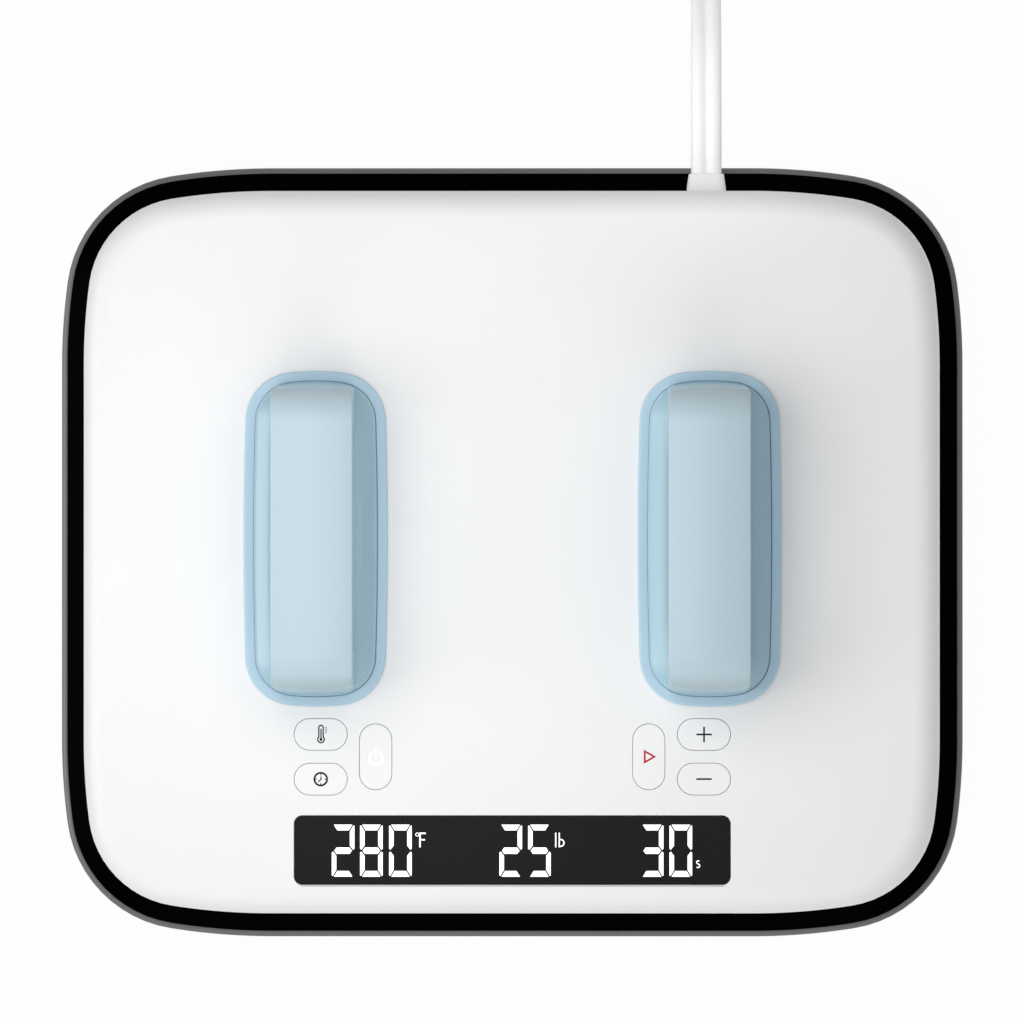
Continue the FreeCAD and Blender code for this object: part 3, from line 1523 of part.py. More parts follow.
def make_boards():
    body = new_body("control_board")
    outline = new_sketch(body, "control_board_outline", "XY_Plane", D["control_board_bottom"])
    draw_rectangle(
        outline, 0, button_row_y, D["control_board_length"], D["control_board_width"], 2.0
    )
    for x, y in CONTROL_HOLES:
        draw_circle(outline, x, y, D["board_screw_diameter"] + D["screw_play"])
    pad(body, outline, D["board_thickness"])

    body = new_body("buzzer")
    can = new_sketch(body, "buzzer_can", "XY_Plane", control_board_top)
    draw_circle(can, 0, button_row_y, D["buzzer_diameter"])
    pad(body, can, D["buzzer_height"])
    dress(body, "Fillet", 0.8, at_height(control_board_top + D["buzzer_height"]))
    vent = new_sketch(body, "buzzer_vent", "XY_Plane", control_board_top + D["buzzer_height"])
    draw_circle(vent, 0, button_row_y, 2.5)
    pocket(body, vent, D["buzzer_height"] / 4)

    body = new_body("power_board")
    outline = new_sketch(body, "power_board_outline", "XY_Plane", power_board_bottom)
    draw_rectangle(
        outline, 0, power_board_y, D["power_board_length"], D["power_board_width"], 2.0
    )
    for x, y in POWER_HOLES:
        draw_circle(outline, x, y, D["board_screw_diameter"] + D["screw_play"])
    pad(body, outline, D["board_thickness"])

    for label, stem in (("relay", "relay"), ("transformer", "transformer"), ("terminal_block", "terminal")):
        x, y, length, width, height = (
            D[f"{stem}_{what}"] for what in ("x", "y", "length", "width", "height")
        )
        body = new_body(label)
        case = new_sketch(body, f"{label}_case", "XY_Plane", power_board_top)
        draw_rectangle(case, x, power_board_y + y, length, width)
        pad(body, case, height)
        dress(body, "Chamfer", 0.8, at_height(power_board_top + height))


def make_display():
    body = new_body("display_window")
    pane = new_sketch(body, "window_pane", "XY_Plane", window_bottom)
    play = D["window_play"]
    draw_rectangle(
        pane,
        0,
        window_y,
        D["window_length"] - play * 2,
        D["window_width"] - play * 2,
        D["window_corner"] - play,
    )
    pad(body, pane, D["window_thickness"])

    body = new_body("display_module")
    board = new_sketch(
        body, "display_board", "XY_Plane", D["display_board_top"] - D["board_thickness"]
    )
    draw_rectangle(
        board,
        0,
        window_y,
        D["window_length"] + D["display_board_overhang"] * 2,
        D["display_board_width"],
        1.5,
    )
    for side in (-1, 1):
        draw_circle(
            board, side * display_hole_x, window_y, D["board_screw_diameter"] + D["screw_play"]
        )
    pad(body, board, D["board_thickness"])
    lamp = new_sketch(body, "display_lamp", "XY_Plane", D["display_board_top"])
    margin = D["display_box_margin"] / 2
    draw_rectangle(
        lamp,
        0,
        window_y,
        D["window_length"] - D["window_ledge_x"] * 2 - margin * 2,
        D["window_width"] - D["window_ledge_y"] * 2 - margin,
    )
    pad(body, lamp, window_bottom - D["seat_gap"] - D["display_board_top"])


def make_board_screws():
    """The screws of the control board and the display from below, and of the power board from above."""
    screws = []
    head, head_height = D["board_head_diameter"], D["board_head_height"]
    diameter = D["board_screw_diameter"]
    reach = D["board_screw_reach"] + D["board_thickness"]
    places = [(x, y, D["control_board_bottom"], False, reach) for x, y in CONTROL_HOLES]
    display_seat = D["display_board_top"] - D["board_thickness"]
    for side in (-1, 1):
        places.append((side * display_hole_x, window_y, display_seat, False, reach - 1.0))
    places += [(x, y, power_board_top, True, reach) for x, y in POWER_HOLES]
    for i, (x, y, seat, upwards, length) in enumerate(places):
        screws.append(
            screw(
                f"board_screw_{i}",
                x,
                y,
                seat,
                length,
                diameter,
                head,
                head_height,
                diameter * 0.8,
                upwards=upwards,
            )
        )
    group("board_screws", screws)


# Inner wiring


def make_leads():
    height = float(D["cord_height"])
    start = float(boot_inner_end())
    half = float(D["lead_spacing"]) / 2
    x = float(D["cord_x"])
    block_face = float(D["terminal_x"] + D["terminal_length"] / 2)
    middle = float(power_board_y + D["terminal_y"])
    leads = []
    for side in (-1, 1):
        turn_y = middle - side * half
        points = [
            vector(x + side * half, start, height),
            vector(x + side * half, turn_y, height),
            vector(block_face, turn_y, height),
        ]
        leads.append(tube(points, D["lead_diameter"]))
    set_shape("mains_leads", Part.makeCompound(leads))

    radius = float(D["heater_lead_diameter"]) / 2
    top = float(D["heater_top"])
    far = float(riser_x)
    row = float(heater_row)
    level = top + float(D["heater_lead_lift"])
    relay_x = float(D["relay_x"])
    relay_y = float(power_board_y + D["relay_y"])
    relay_side = relay_y + float(D["rear_lead_shift"])
    straight = far + float(D["rear_lead_straight"])
    slant = float(D["front_lead_slant"])
    rear = [
        vector(far, row, top),
        vector(far, row, level),
        vector(straight, row, level),
        vector(straight + float(D["rear_lead_slant"]), relay_side, level),
        vector(relay_x - float(D["relay_length"]) / 2, relay_side, level),
    ]
    front = [
        vector(far, -row, top),
        vector(far, -row, level),
        vector(-D["front_lead_outer_x"], -row, level),
        vector(-D["front_lead_inner_x"], -row + slant, level),
        vector(-D["front_lead_back_x"], relay_y - slant, level),
        vector(relay_x, relay_y - float(D["front_lead_end"]), level),
        vector(relay_x, relay_y - float(D["relay_width"]) / 2, level),
    ]
    set_shape("heater_leads", Part.makeCompound([tube(rear, 2 * radius), tube(front, 2 * radius)]))


# Cord, boot and plug


def boot_wall():
    """Where the bowed wall's inner face stands on Y at the far edge of the boot's collar."""
    across = D["cord_x"] + D["boot_width"] / 2 + D["boot_collar_rim"]
    radius = bow_radius(D["corner_radius"], D["side_bow"], corner_x)
    return half_width - D["shell_inset"] - D["shell_wall"] - across * across / (radius * 2)


def boot_inner_end():
    """Where the boot ends inside the housing, on Y."""
    return boot_wall() - D["seat_gap"] - D["boot_collar"] - D["boot_inner_length"]


def make_boot():
    """A moulded strain relief: a tapered nose outside the wall, a neck in it, and a collar and sleeve inside."""
    x, height = D["cord_x"], D["cord_height"]
    wall = boot_wall()
    outside = half_width - D["shell_inset"]
    end = half_width - D["boot_end_inset"]
    body = new_body("strain_relief_boot")
    neck = new_sketch(body, "boot_neck", "XZ_Plane", -outside)
    draw_rectangle(neck, x, height, D["boot_width"], D["boot_height"], 3.4)
    pad(body, neck, outside - wall + D["seat_gap"] * 2)
    root = new_sketch(body, "boot_root", "XZ_Plane", -outside)
    draw_rectangle(root, x, height, D["boot_width"], D["boot_height"], 3.4)
    tip = new_sketch(body, "boot_tip", "XZ_Plane", -end)
    draw_rectangle(tip, x, height, D["boot_end_width"], D["boot_end_height"], 2.8)
    loft(body, "Additive", root, tip)
    collar = new_sketch(body, "boot_collar", "XZ_Plane", -(wall - D["seat_gap"]))
    rim = D["boot_collar_rim"] * 2
    draw_rectangle(collar, x, height, D["boot_width"] + rim, D["boot_height"] + rim, 3.0)
    pad(body, collar, D["boot_collar"])
    sleeve = new_sketch(body, "boot_sleeve", "XZ_Plane", -(wall - D["seat_gap"] - D["boot_collar"]))
    draw_rectangle(sleeve, x, height, D["boot_end_width"], D["boot_end_height"], 2.8)
    pad(body, sleeve, D["boot_inner_length"])


def make_clamp():
    x, y = D["cord_x"], clamp_y
    body = new_body("cord_clamp")
    block = new_sketch(body, "clamp_block", "XZ_Plane", -(y + D["clamp_depth"] / 2))
    height = D["clamp_top"] - chassis_top
    draw_rectangle(block, x, chassis_top + height / 2, D["clamp_length"], height, 2.0)
    draw_rectangle(
        block,
        x,
        D["cord_height"],
        D["lead_spacing"] + D["lead_diameter"] + 0.6,
        D["lead_diameter"] + 0.6,
        D["lead_diameter"] / 2,
    )
    pad(body, block, D["clamp_depth"])
    holes = new_sketch(body, "clamp_holes", "XY_Plane", D["clamp_top"])
    for side in (-1, 1):
        across = x + side * D["clamp_screw_spacing"] / 2
        draw_circle(holes, across, y, D["small_screw_diameter"] + D["screw_play"])
    pocket(body, holes)
    screws = []
    for side in (-1, 1):
        screws.append(
            screw(
                f"clamp_screw_{'left' if side < 0 else 'right'}",
                x + side * D["clamp_screw_spacing"] / 2,
                y,
                D["clamp_top"],
                D["clamp_top"] - D["chassis_height"],
                D["small_screw_diameter"],
                D["small_head_diameter"],
                D["small_head_height"],
                D["small_screw_diameter"] * 0.8,
            )
        )
    group("clamp_screws", screws)


def cord_section(place, along, across):
    """The cord's figure eight at a place: two round strands side by side, with a groove between them."""
    radius = float(D["cord_strand"]) / 2
    offset = float(D["cord_width"]) / 2 - radius
    across = (across - along * across.dot(along)).normalize()
    up = along.cross(across)
    groove = math.sqrt(radius * radius - offset * offset)
    angle = math.acos(-offset / radius) / 2
    arcs = []
    for side in (-1, 1):
        middle = place + across * (side * offset)
        begin = place + up * groove
        finish = place - up * groove
        crown = middle + across * (side * radius)
        high = middle + across * (side * radius * math.cos(angle)) + up * (radius * math.sin(angle))
        low = middle + across * (side * radius * math.cos(angle)) - up * (radius * math.sin(angle))
        pair = [Part.Arc(begin, high, crown), Part.Arc(crown, low, finish)]
        arcs += pair if side > 0 else [Part.Arc(finish, low, crown), Part.Arc(crown, high, begin)]
    return Part.Wire([arc.toShape() for arc in arcs])


# The cord's route from the boot to its coil, in the plane x = cord_x, as (y, z)
CORD_ROUTE = ((145.0, 41.0), (187.0, 41.0), (245.0, 5.95), (302.0, 5.95))
TWIST_START = 45.0
TWIST_SECTIONS = 26


def make_cord_stretch():
    """The stretch from the boot to the coil, which turns from lying flat to standing on edge."""
    x = float(D["cord_x"])
    points = [vector(x, y, z) for y, z in CORD_ROUTE]
    radii = []
    wire, start, direction = rounded_path(points, radii)
    print("cord radii:", [round(radius, 1) for radius in radii])
    length = wire.Length
    sections = []
    for i in range(TWIST_SECTIONS + 1):
        along = length * i / TWIST_SECTIONS
        place, tangent = point_on(wire, along)
        share = min(max((along - TWIST_START) / (length - TWIST_START), 0.0), 1.0)
        turn = math.pi / 2 * share * share * (3 - 2 * share)
        upright = tangent.cross(vector(1, 0, 0)) * -1
        across = vector(1, 0, 0) * math.cos(turn) + upright * math.sin(turn)
        sections.append(cord_section(place, tangent, across))
    solid = Part.makeLoft(sections, True, False)
    area = Part.Face(sections[0]).Area
    print("cord stretch:", round(length, 1), "mm, volume ratio", round(solid.Volume / (area * length), 4))
    set_shape("cord_stretch", solid)
    return area


def point_on(wire, along):
    """The place and direction at a distance along a wire."""
    for edge in wire.OrderedEdges:
        if along <= edge.Length + 1e-6:
            at = edge.getParameterByLength(min(along, edge.Length))
            place = edge.valueAt(at)
            tangent = edge.tangentAt(at)
            if edge.Orientation == "Reversed":
                at = edge.getParameterByLength(max(edge.Length - along, 0))
                place = edge.valueAt(at)
                tangent = edge.tangentAt(at) * -1
            return place, tangent
        along -= edge.Length
    raise ValueError("past the end of the wire")


# Quarter turns on the floor, in the climb and on top, and how far inside the spiral the climb runs
COIL_LOWER = 7
COIL_CLIMB = 2
COIL_UPPER = 8
CLIMB_INSET = 9


def coil_nodes():
    """Places and directions at each quarter turn: in along the floor, up a layer, and out again on top."""
    radius, pitch = float(D["coil_radius"]), float(D["coil_pitch"])
    low = float(D["cord_width"]) / 2 + float(D["floor_gap"])
    rise = float(D["cord_width"]) + float(D["coil_layer_gap"])
    centre_x = float(D["cord_x"]) - radius
    centre_y = float(D["coil_start_y"]) + float(D["cord_width"])
    nodes = []
    for quarter in range(COIL_LOWER + COIL_CLIMB + COIL_UPPER + 1):
        climbing = COIL_LOWER <= quarter <= COIL_LOWER + COIL_CLIMB
        from_top = 2 * COIL_LOWER + COIL_CLIMB - quarter
        steps = CLIMB_INSET if climbing else min(quarter, from_top)
        reach = radius - pitch / 4 * steps
        climbed = min(max(quarter - COIL_LOWER, 0) / COIL_CLIMB, 1)
        height = low + rise * climbed
        slope = rise / (reach * math.pi) * math.pi / 2 if 0 < climbed < 1 else 0.0
        angle = math.pi / 2 * quarter
        place = vector(
            centre_x + reach * math.cos(angle), centre_y + reach * math.sin(angle), height
        )
        direction = vector(-math.sin(angle), math.cos(angle), slope).normalize()
        nodes.append((place, direction))
    return nodes


def biarc(first, first_along, last, last_along):
    """Two arcs that leave one place in a direction and reach another in a direction."""
    chord = last - first
    both = first_along + last_along
    spread = 2 * (1 - first_along.dot(last_along))
    reach = (-chord.dot(both) + math.sqrt(chord.dot(both) ** 2 + spread * chord.dot(chord))) / spread
    out = first + first_along * reach
    back = last - last_along * reach
    joint = (out + back) * 0.5
    return [arc_to(first, out, joint), arc_to(joint, back, last)]


def arc_to(begin, corner, finish):
    """The arc from begin to finish whose end tangents meet at corner."""
    middle = (begin + finish) * 0.5
    up = corner - middle
    half = (finish - begin).Length / 2
    turn = math.atan2(up.Length, half)
    crown = middle + up.normalize() * (half * math.tan(turn / 2))
    return Part.Arc(begin, crown, finish)


def make_cord_coil(area):
    """The put-away length: a coil of on-edge turns in two layers, and the tail that drops to the plug."""
    nodes = coil_nodes()
    width = float(D["cord_width"])
    first, direction = nodes[0]
    edges = [Part.LineSegment(first - direction * width, first)]
    for (a, a_along), (b, b_along) in zip(nodes, nodes[1:]):
        edges += biarc(a, a_along, b, b_along)
    last, along = nodes[-1]
    straight = last + along * (width * 2)
    edges.append(Part.LineSegment(last, straight))
    edges += tail_arcs(straight, along)
    wire = Part.Wire([edge.toShape() for edge in edges])
    start = first - direction * width
    shell = Part.BRepOffsetAPI.MakePipeShell(wire)
    shell.add(cord_section(start, direction, vector(0, 0, 1)))
    shell.build()
    shell.makeSolid()
    solid = shell.shape()
    print("coil:", round(wire.Length, 1), "mm, volume ratio", round(solid.Volume / (area * wire.Length), 4))
    print("least gap in the coil:", round(least_gap(wire), 2))
    set_shape("cord_coil", solid)


def tail_arcs(start, along):
    """From the coil's end down to the plug's height, level at both ends, then straight."""
    drop = start.z - float(D["plug_axis_height"])
    reach = float(D["tail_length"]) * 0.72
    level = FreeCAD.Vector(start.x + along.x * reach, start.y + along.y * reach, start.z - drop)
    finish = level + along * (float(D["tail_length"]) - reach)
    return [*biarc_flat(start, level, along), Part.LineSegment(level, finish)]


def biarc_flat(first, last, along):
    """An S of two equal arcs between two places, parallel to one direction at both ends."""
    joint = (first + last) * 0.5
    half = (joint - first).Length
    lean = (joint - first).getAngle(along)
    reach = half / 2 / math.cos(lean)
    return [
        arc_to(first, first + along * reach, joint),
        arc_to(joint, last - along * reach, last),
    ]


def least_gap(wire):
    """The least clear distance between two turns of the coil, tested on points along it."""
    strand, width = float(D["cord_strand"]), float(D["cord_width"])
    step = 2.0
    points = wire.discretize(int(wire.Length / step))
    apart = int(width * 4 / step)
    least = width
    for i, a in enumerate(points):
        for b in points[i + apart :]:
            beside = math.hypot(a.x - b.x, a.y - b.y)
            above = abs(a.z - b.z)
            least = min(least, max(beside - strand, above - width))
    return least


def make_plug(axis_start, along):
    """A two-pin plug lying on its edge: a tapered relief, a body and a nose with two flat pins."""
    height = axis_start.z
    y = axis_start.y
    x = axis_start.x
    relief, length = float(D["plug_relief_length"]), float(D["plug_body_length"])

    def ring(at, wide, thick, corner):
        """A rounded rectangle across the plug's axis, wide on Z and thick on Y."""
        half_w, half_t = wide / 2 - corner, thick / 2 - corner
        edges = []
        corners = ((1, 1), (-1, 1), (-1, -1), (1, -1))
        spots = [vector(at, y + sy * half_t, height + sz * half_w) for sy, sz in corners]
        outs = [
            (vector(0, 1, 0), vector(0, 0, 1)),
            (vector(0, 0, 1), vector(0, -1, 0)),
            (vector(0, -1, 0), vector(0, 0, -1)),
            (vector(0, 0, -1), vector(0, 1, 0)),
        ]
        arcs = []
        for spot, (begin, finish) in zip(spots, outs):
            middle = (begin + finish) * DIAGONAL
            arcs.append(Part.Arc(spot + begin * corner, spot + middle * corner, spot + finish * corner))
        for i, arc in enumerate(arcs):
            edges.append(arc.toShape())
            following = arcs[(i + 1) % 4]
            edges.append(Part.LineSegment(arc.EndPoint, following.StartPoint).toShape())
        return Part.Wire(edges)

    wide, thick = float(D["plug_body_width"]), float(D["plug_body_thickness"])
    nose_w, nose_t = float(D["plug_nose_width"]), float(D["plug_nose_thickness"])
    cord_w, cord_t = float(D["cord_width"]) + 1.6, float(D["cord_strand"]) + 1.9
    relief_solid = Part.makeLoft(
        [ring(x, cord_w, cord_t, 2.6), ring(x - relief, cord_w + 2.2, cord_t + 2.6, 3.2)], True, True
    )
    body_solid = Part.makeLoft(
        [
            ring(x - relief, nose_w, nose_t, 4.0),
            ring(x - relief - length * 0.22, wide, thick, 5.0),
            ring(x - relief - length * 0.8, wide, thick, 5.0),
            ring(x - relief - length, nose_w + 1.5, nose_t + 1.0, 4.0),
        ],
        True,
        True,
    )
    solid = relief_solid.fuse(body_solid).removeSplitter()

    face = x - relief - length
    pins = []
    root = float(D["pin_root"])
    for side, pin_width in ((-1, float(D["pin_width"])), (1, float(D["neutral_pin_width"]))):
        middle = height + side * float(D["pin_spacing"]) / 2
        thickness, reach = float(D["pin_thickness"]), float(D["pin_length"])
        blade = Part.makeBox(
            reach + root,
            pin_width,
            thickness,
            vector(face - reach, y - pin_width / 2, middle - thickness / 2),
        )
        tip_edges = [
            edge
            for edge in blade.Edges
            if abs(edge.BoundBox.XMax - (face - reach)) < 1e-6 and edge.BoundBox.YLength > 1.0
        ]
        pins.append(blade.makeChamfer(0.5, tip_edges))
        solid = solid.cut(
            Part.makeBox(
                root,
                pin_width,
                thickness,
                vector(face, y - pin_width / 2, middle - thickness / 2),
            )
        )
    set_shape("plug_body", solid)
    set_shape("plug_pins", Part.makeCompound(pins))


def make_cord():
    area = make_cord_stretch()
    make_cord_coil(area)
    last, along = coil_nodes()[-1]
    end = last + along * (float(D["cord_width"]) * 2 + float(D["tail_length"]))
    make_plug(vector(end.x, end.y, D["plug_axis_height"]), along)


def check_model():
    """Stop if any object failed, or any sub-part is empty or not valid."""
    for thing in doc.Objects:
        if {"Invalid", "Error"} & set(thing.State):
            raise ValueError(f"{thing.Label} failed: {thing.State} {thing.getStatusString()}")
    for node in NODES:
        shape = node.Shape
        if shape.isNull() or not shape.isValid() or not shape.Solids:
            raise ValueError(f"{node.Label} has no valid solid")
    labels = [node.Label for node in NODES]
    if len(set(labels)) != len(labels):
        raise ValueError("two sub-parts share a label")


def main():
    make_heat_plate()
    make_heating_element()
    make_plate_fixings()
    make_plate_parts()
    make_insulation()
    make_chassis()
    make_lower_housing()
    make_bezel_ring()
    make_top_shell()
    make_housing_screws()
    for name, x in HANDLES:
        make_handle(name, x)
    make_handle_nuts()
    make_load_cells()
    make_buttons()
    make_boards()
    make_display()
    make_board_screws()
    make_leads()
    make_boot()
    make_clamp()
    make_cord()
    doc.recompute()
    check_model()
    os.makedirs("parts", exist_ok=True)
    for node in NODES:
        node.Shape.exportStep(f"parts/{node.Label}.step")
    print(len(NODES), "sub-parts")


main()
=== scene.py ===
import json
import math

import bmesh
import bpy
import numpy as np
from bpy.props import FloatProperty, FloatVectorProperty, PointerProperty
from mathutils import Matrix, Vector
from mathutils.geometry import delaunay_2d_cdt


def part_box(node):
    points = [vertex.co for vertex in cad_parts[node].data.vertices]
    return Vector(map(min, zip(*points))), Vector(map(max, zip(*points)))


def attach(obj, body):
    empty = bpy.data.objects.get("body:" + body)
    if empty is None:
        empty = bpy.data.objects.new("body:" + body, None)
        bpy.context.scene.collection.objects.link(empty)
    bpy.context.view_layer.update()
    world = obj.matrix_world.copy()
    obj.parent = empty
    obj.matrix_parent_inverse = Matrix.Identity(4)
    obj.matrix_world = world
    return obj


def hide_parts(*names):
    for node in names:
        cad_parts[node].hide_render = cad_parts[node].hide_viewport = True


# The looks of a handheld heat press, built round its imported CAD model. Shapes are worked out in
# millimetres in the CAD's frame: X along the length, Y to the back where the cord leaves, Z up.
# They become metres when a piece is made. Properties are in metres.

bl_info = {
    "name": "Handheld Heat Press",
    "version": (1, 0, 0),
    "blender": (4, 5, 0),
    "location": "3D Viewport > Sidebar > Heat Press",
    "description": "Builds the visible pieces of a handheld heat press round its CAD frame",
    "category": "Object",
}

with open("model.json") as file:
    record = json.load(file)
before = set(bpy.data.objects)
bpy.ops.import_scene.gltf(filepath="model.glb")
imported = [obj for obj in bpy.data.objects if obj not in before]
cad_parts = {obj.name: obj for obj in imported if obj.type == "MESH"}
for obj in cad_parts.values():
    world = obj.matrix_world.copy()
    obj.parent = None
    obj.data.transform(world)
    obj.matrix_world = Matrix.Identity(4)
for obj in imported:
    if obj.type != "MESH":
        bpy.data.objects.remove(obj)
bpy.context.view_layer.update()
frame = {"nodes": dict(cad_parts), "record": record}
SLOTS = {part["node"]: part["material_slot"] for part in frame["record"]["subparts"]}
SIDES = ("left", "right")
MM = 0.001
# Points nearer than this are one point, in metres
WELD = 3e-6
# Points nearer to a cut than this are on it, in metres
CUT_NEAR = 1e-7
# Faces that turn by more than this where they meet have a sharp edge there
SHARP_TURN = math.radians(35)


def cad_box(node):
    """A CAD node's lowest and highest corners in millimetres."""
    low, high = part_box(node)
    return np.array(low) / MM, np.array(high) / MM


HOUSING_LOW, HOUSING_HIGH = cad_box("lower_housing")
SHELL_LOW, SHELL_HIGH = cad_box("top_shell")
COVER_LOW, COVER_HIGH = cad_box("left_grip_cover")
FLANGE_HIGH = cad_box("left_handle_flange")[1]
PLATE_LOW, PLATE_HIGH = cad_box("heat_plate")
PANE_LOW, PANE_HIGH = cad_box("display_window")
CORD_X = 74.7


# Properties


def length_property(name, description, default):
    return FloatProperty(name=name, description=description, default=default, unit="LENGTH", min=0.0)


def colour_property(name, description, default):
    return FloatVectorProperty(
        name=name, description=description, default=default, subtype="COLOR", size=3, min=0.0, max=1.0
    )


def power_property(name, description, default):
    return FloatProperty(name=name, description=description, default=default, unit="POWER", min=0.0)


class CasingSettings(bpy.types.PropertyGroup):
    top: length_property("Shell top", "Height of the flat top over the floor", float(SHELL_HIGH[2]) * MM)
    edge_round: length_property("Shell edge", "Radius of the shell's upper edge", 0.010)
    wall: length_property("Shell wall", "Thickness of the shell", 0.0026)
    shell_colour: colour_property("Shell", "Colour of the white shell", (0.884, 0.882, 0.881))
    ring_colour: colour_property("Ring", "Colour of the black ring", (0.0008, 0.0008, 0.0010))
    skirt_colour: colour_property("Skirt", "Colour of the grey skirt", (0.150, 0.150, 0.153))
    plate_colour: colour_property("Plate", "Colour of the coated plate", (0.095, 0.095, 0.10))


class HandleSettings(bpy.types.PropertyGroup):
    grip_width: length_property("Grip width", "Width of the grip", float(COVER_HIGH[0] - COVER_LOW[0]) * MM)
    grip_colour: colour_property("Grip", "Colour of the strip on top of the grip", (0.438, 0.551, 0.610))
    # The same pale blue plastic as the grip, painted darker and bluer: painted shade for the foot's slopes
    # and legs
    body_colour_painted_shade: colour_property("Body", "Colour of the handle's foot and legs", (0.358, 0.534, 0.624))
    # The same pale blue plastic as the grip, painted lighter: painted light on the oval trim
    flange_colour_painted_light: colour_property("Flange", "Colour of the oval trim", (0.458, 0.630, 0.745))


class ControlSettings(bpy.types.PropertyGroup):
    button_colour: colour_property("Buttons", "Colour of the button caps", (0.892, 0.890, 0.889))
    ink_colour: colour_property("Marks", "Colour of the printed marks", (0.010, 0.010, 0.011))
    start_colour: colour_property("Start mark", "Colour of the start button's mark", (0.52, 0.022, 0.028))
    pane_colour: colour_property("Window", "Colour of the display window", (0.0160, 0.0160, 0.0160))
    digit_colour: colour_property("Digits", "Colour of the lit digits", (1.0, 1.0, 1.0))


class CordSettings(bpy.types.PropertyGroup):
    strand: length_property("Strand", "Diameter of each of the cord's two strands", 0.0061)
    width: length_property("Width", "Width of the flat cord", 0.0118)
    colour: colour_property("Cord", "Colour of the cord, boot and plug", (0.97, 0.97, 0.97))


class StageSettings(bpy.types.PropertyGroup):
    floor_colour: colour_property("Floor", "Colour of the floor", (0.93, 0.93, 0.93))
    over_power: power_property("Upper lamp", "Power of the lamp over the press", 0.72)
    side_power: power_property("Side lamp", "Power of the lamp at the left", 1.45)
    front_power: power_property("Front lamp", "Power of the lamp at the front", 6.7)
    cord_power: power_property("Cord lamp", "Power of the lamp over the cord", 0.006)
    sheen_power: power_property("Sheen lamp", "Power of the lamp that is only seen in reflections", 11.0)
    sky_strength: FloatProperty(name="Sky", description="Strength of the even light", default=0.48, min=0.0)


# Outlines and grids


def unit(vectors):
    """Each row divided by its length."""
    return vectors / np.linalg.norm(vectors, axis=1)[:, None]


class Outline:
    """A closed line of arcs and straight runs.

    Each point is its arc's centre plus the arc's signed radius along a direction that points out of
    the material, so an inset line is centre + (radius - inset) * direction, point for point.
    """

    def __init__(self, centres, radii, directions):
        self.centres, self.radii, self.directions = centres, radii, directions

    def line(self, inset=0.0):
        """The outline's points, moved inwards by an inset."""
        return self.centres + (self.radii - inset)[:, None] * self.directions


def smooth_step(value, low, high):
    """s^2 * (3 - 2 s), where s goes evenly from 0 at low to 1 at high."""
    share = np.clip((value - low) / (high - low), 0.0, 1.0)
    return share * share * (3 - 2 * share)


def join_runs(runs):
    """An outline from runs of (centres, radii, directions), without points that fall together."""
    centres, radii, directions = (np.concatenate(part) for part in zip(*runs))
    points = centres + radii[:, None] * directions
    kept = np.linalg.norm(points - np.roll(points, 1, axis=0), axis=1) > 1e-4
    return Outline(centres[kept], radii[kept], directions[kept])


def arc_run(centre, radius, start, finish, count):
    """Points of one arc: centre + radius * (cos, sin) of a direction that turns evenly."""
    turn = np.linspace(start, finish, count)
    directions = np.stack((np.cos(turn), np.sin(turn)), axis=1)
    return np.tile(np.asarray(centre, float), (count, 1)), np.full(count, float(radius)), directions


def bowed_oval(half_x, half_y, corner, bow_x, bow_y, middle=(0.0, 0.0)):
    """Four round corners joined by sides that bow outwards.

    A side's radius is ((corner + bow)^2 + across^2 - corner^2) / (2 * bow), which lets it touch both
    corner arcs, where across is how far the corners' centres stand from the middle.
    """
    x, y = half_x - corner - bow_x, half_y - corner - bow_y
    end_radius = ((corner + bow_x) ** 2 + y**2 - corner**2) / (2 * bow_x)
    side_radius = ((corner + bow_y) ** 2 + x**2 - corner**2) / (2 * bow_y)
    end, side = half_x - end_radius, half_y - side_radius
    near, far = math.atan2(y, x - end), math.atan2(y - side, x)
    turn = math.pi
    runs = [
        arc_run((end, 0), end_radius, -near, near, 13),
        arc_run((x, y), corner, near, far, 25),
        arc_run((0, side), side_radius, far, turn - far, 13),
        arc_run((-x, y), corner, turn - far, turn - near, 25),
        arc_run((-end, 0), end_radius, turn - near, turn + near, 13),
        arc_run((-x, -y), corner, turn + near, turn + far, 25),
        arc_run((0, -side), side_radius, turn + far, 2 * turn - far, 13),
        arc_run((x, -y), corner, 2 * turn - far, 2 * turn - near, 25),
    ]
    outline = join_runs(runs)
    outline.centres = outline.centres + np.asarray(middle)
    return outline


def eased_rectangle(half_x, half_y, corner, ends, sides):
    """Straight sides and round corners, with a long arc on each side of a corner that eases into it.

    Ends and sides give that arc's radius and turn at the short and at the long sides. In a quarter,
    from the x axis on, each centre is the one before + (radius before - radius) * (cos a, sin a),
    where a is the direction in which the two arcs meet.
    """
    first, second = math.radians(ends[1]), math.radians(90 - sides[1])
    radii = (ends[0], corner, sides[0])
    steps = []
    for i, turn in enumerate((first, second)):
        steps.append((radii[i] - radii[i + 1]) * np.array((math.cos(turn), math.sin(turn))))
    begin = np.array((half_x - ends[0], half_y - sides[0] - steps[0][1] - steps[1][1]))
    middles = (begin, begin + steps[0], begin + steps[0] + steps[1])
    turns = ((0.0, first), (first, second), (second, math.pi / 2))
    arcs = [arc_run(middle, radius, *turn, 13) for middle, radius, turn in zip(middles, radii, turns)]
    centres, lengths, directions = (np.concatenate(part) for part in zip(*arcs))
    runs = []
    for flip, order in (((1, 1), 1), ((-1, 1), -1), ((-1, -1), 1), ((1, -1), -1)):
        runs.append((centres[::order] * flip, lengths[::order], directions[::order] * flip))
    return join_runs(runs)


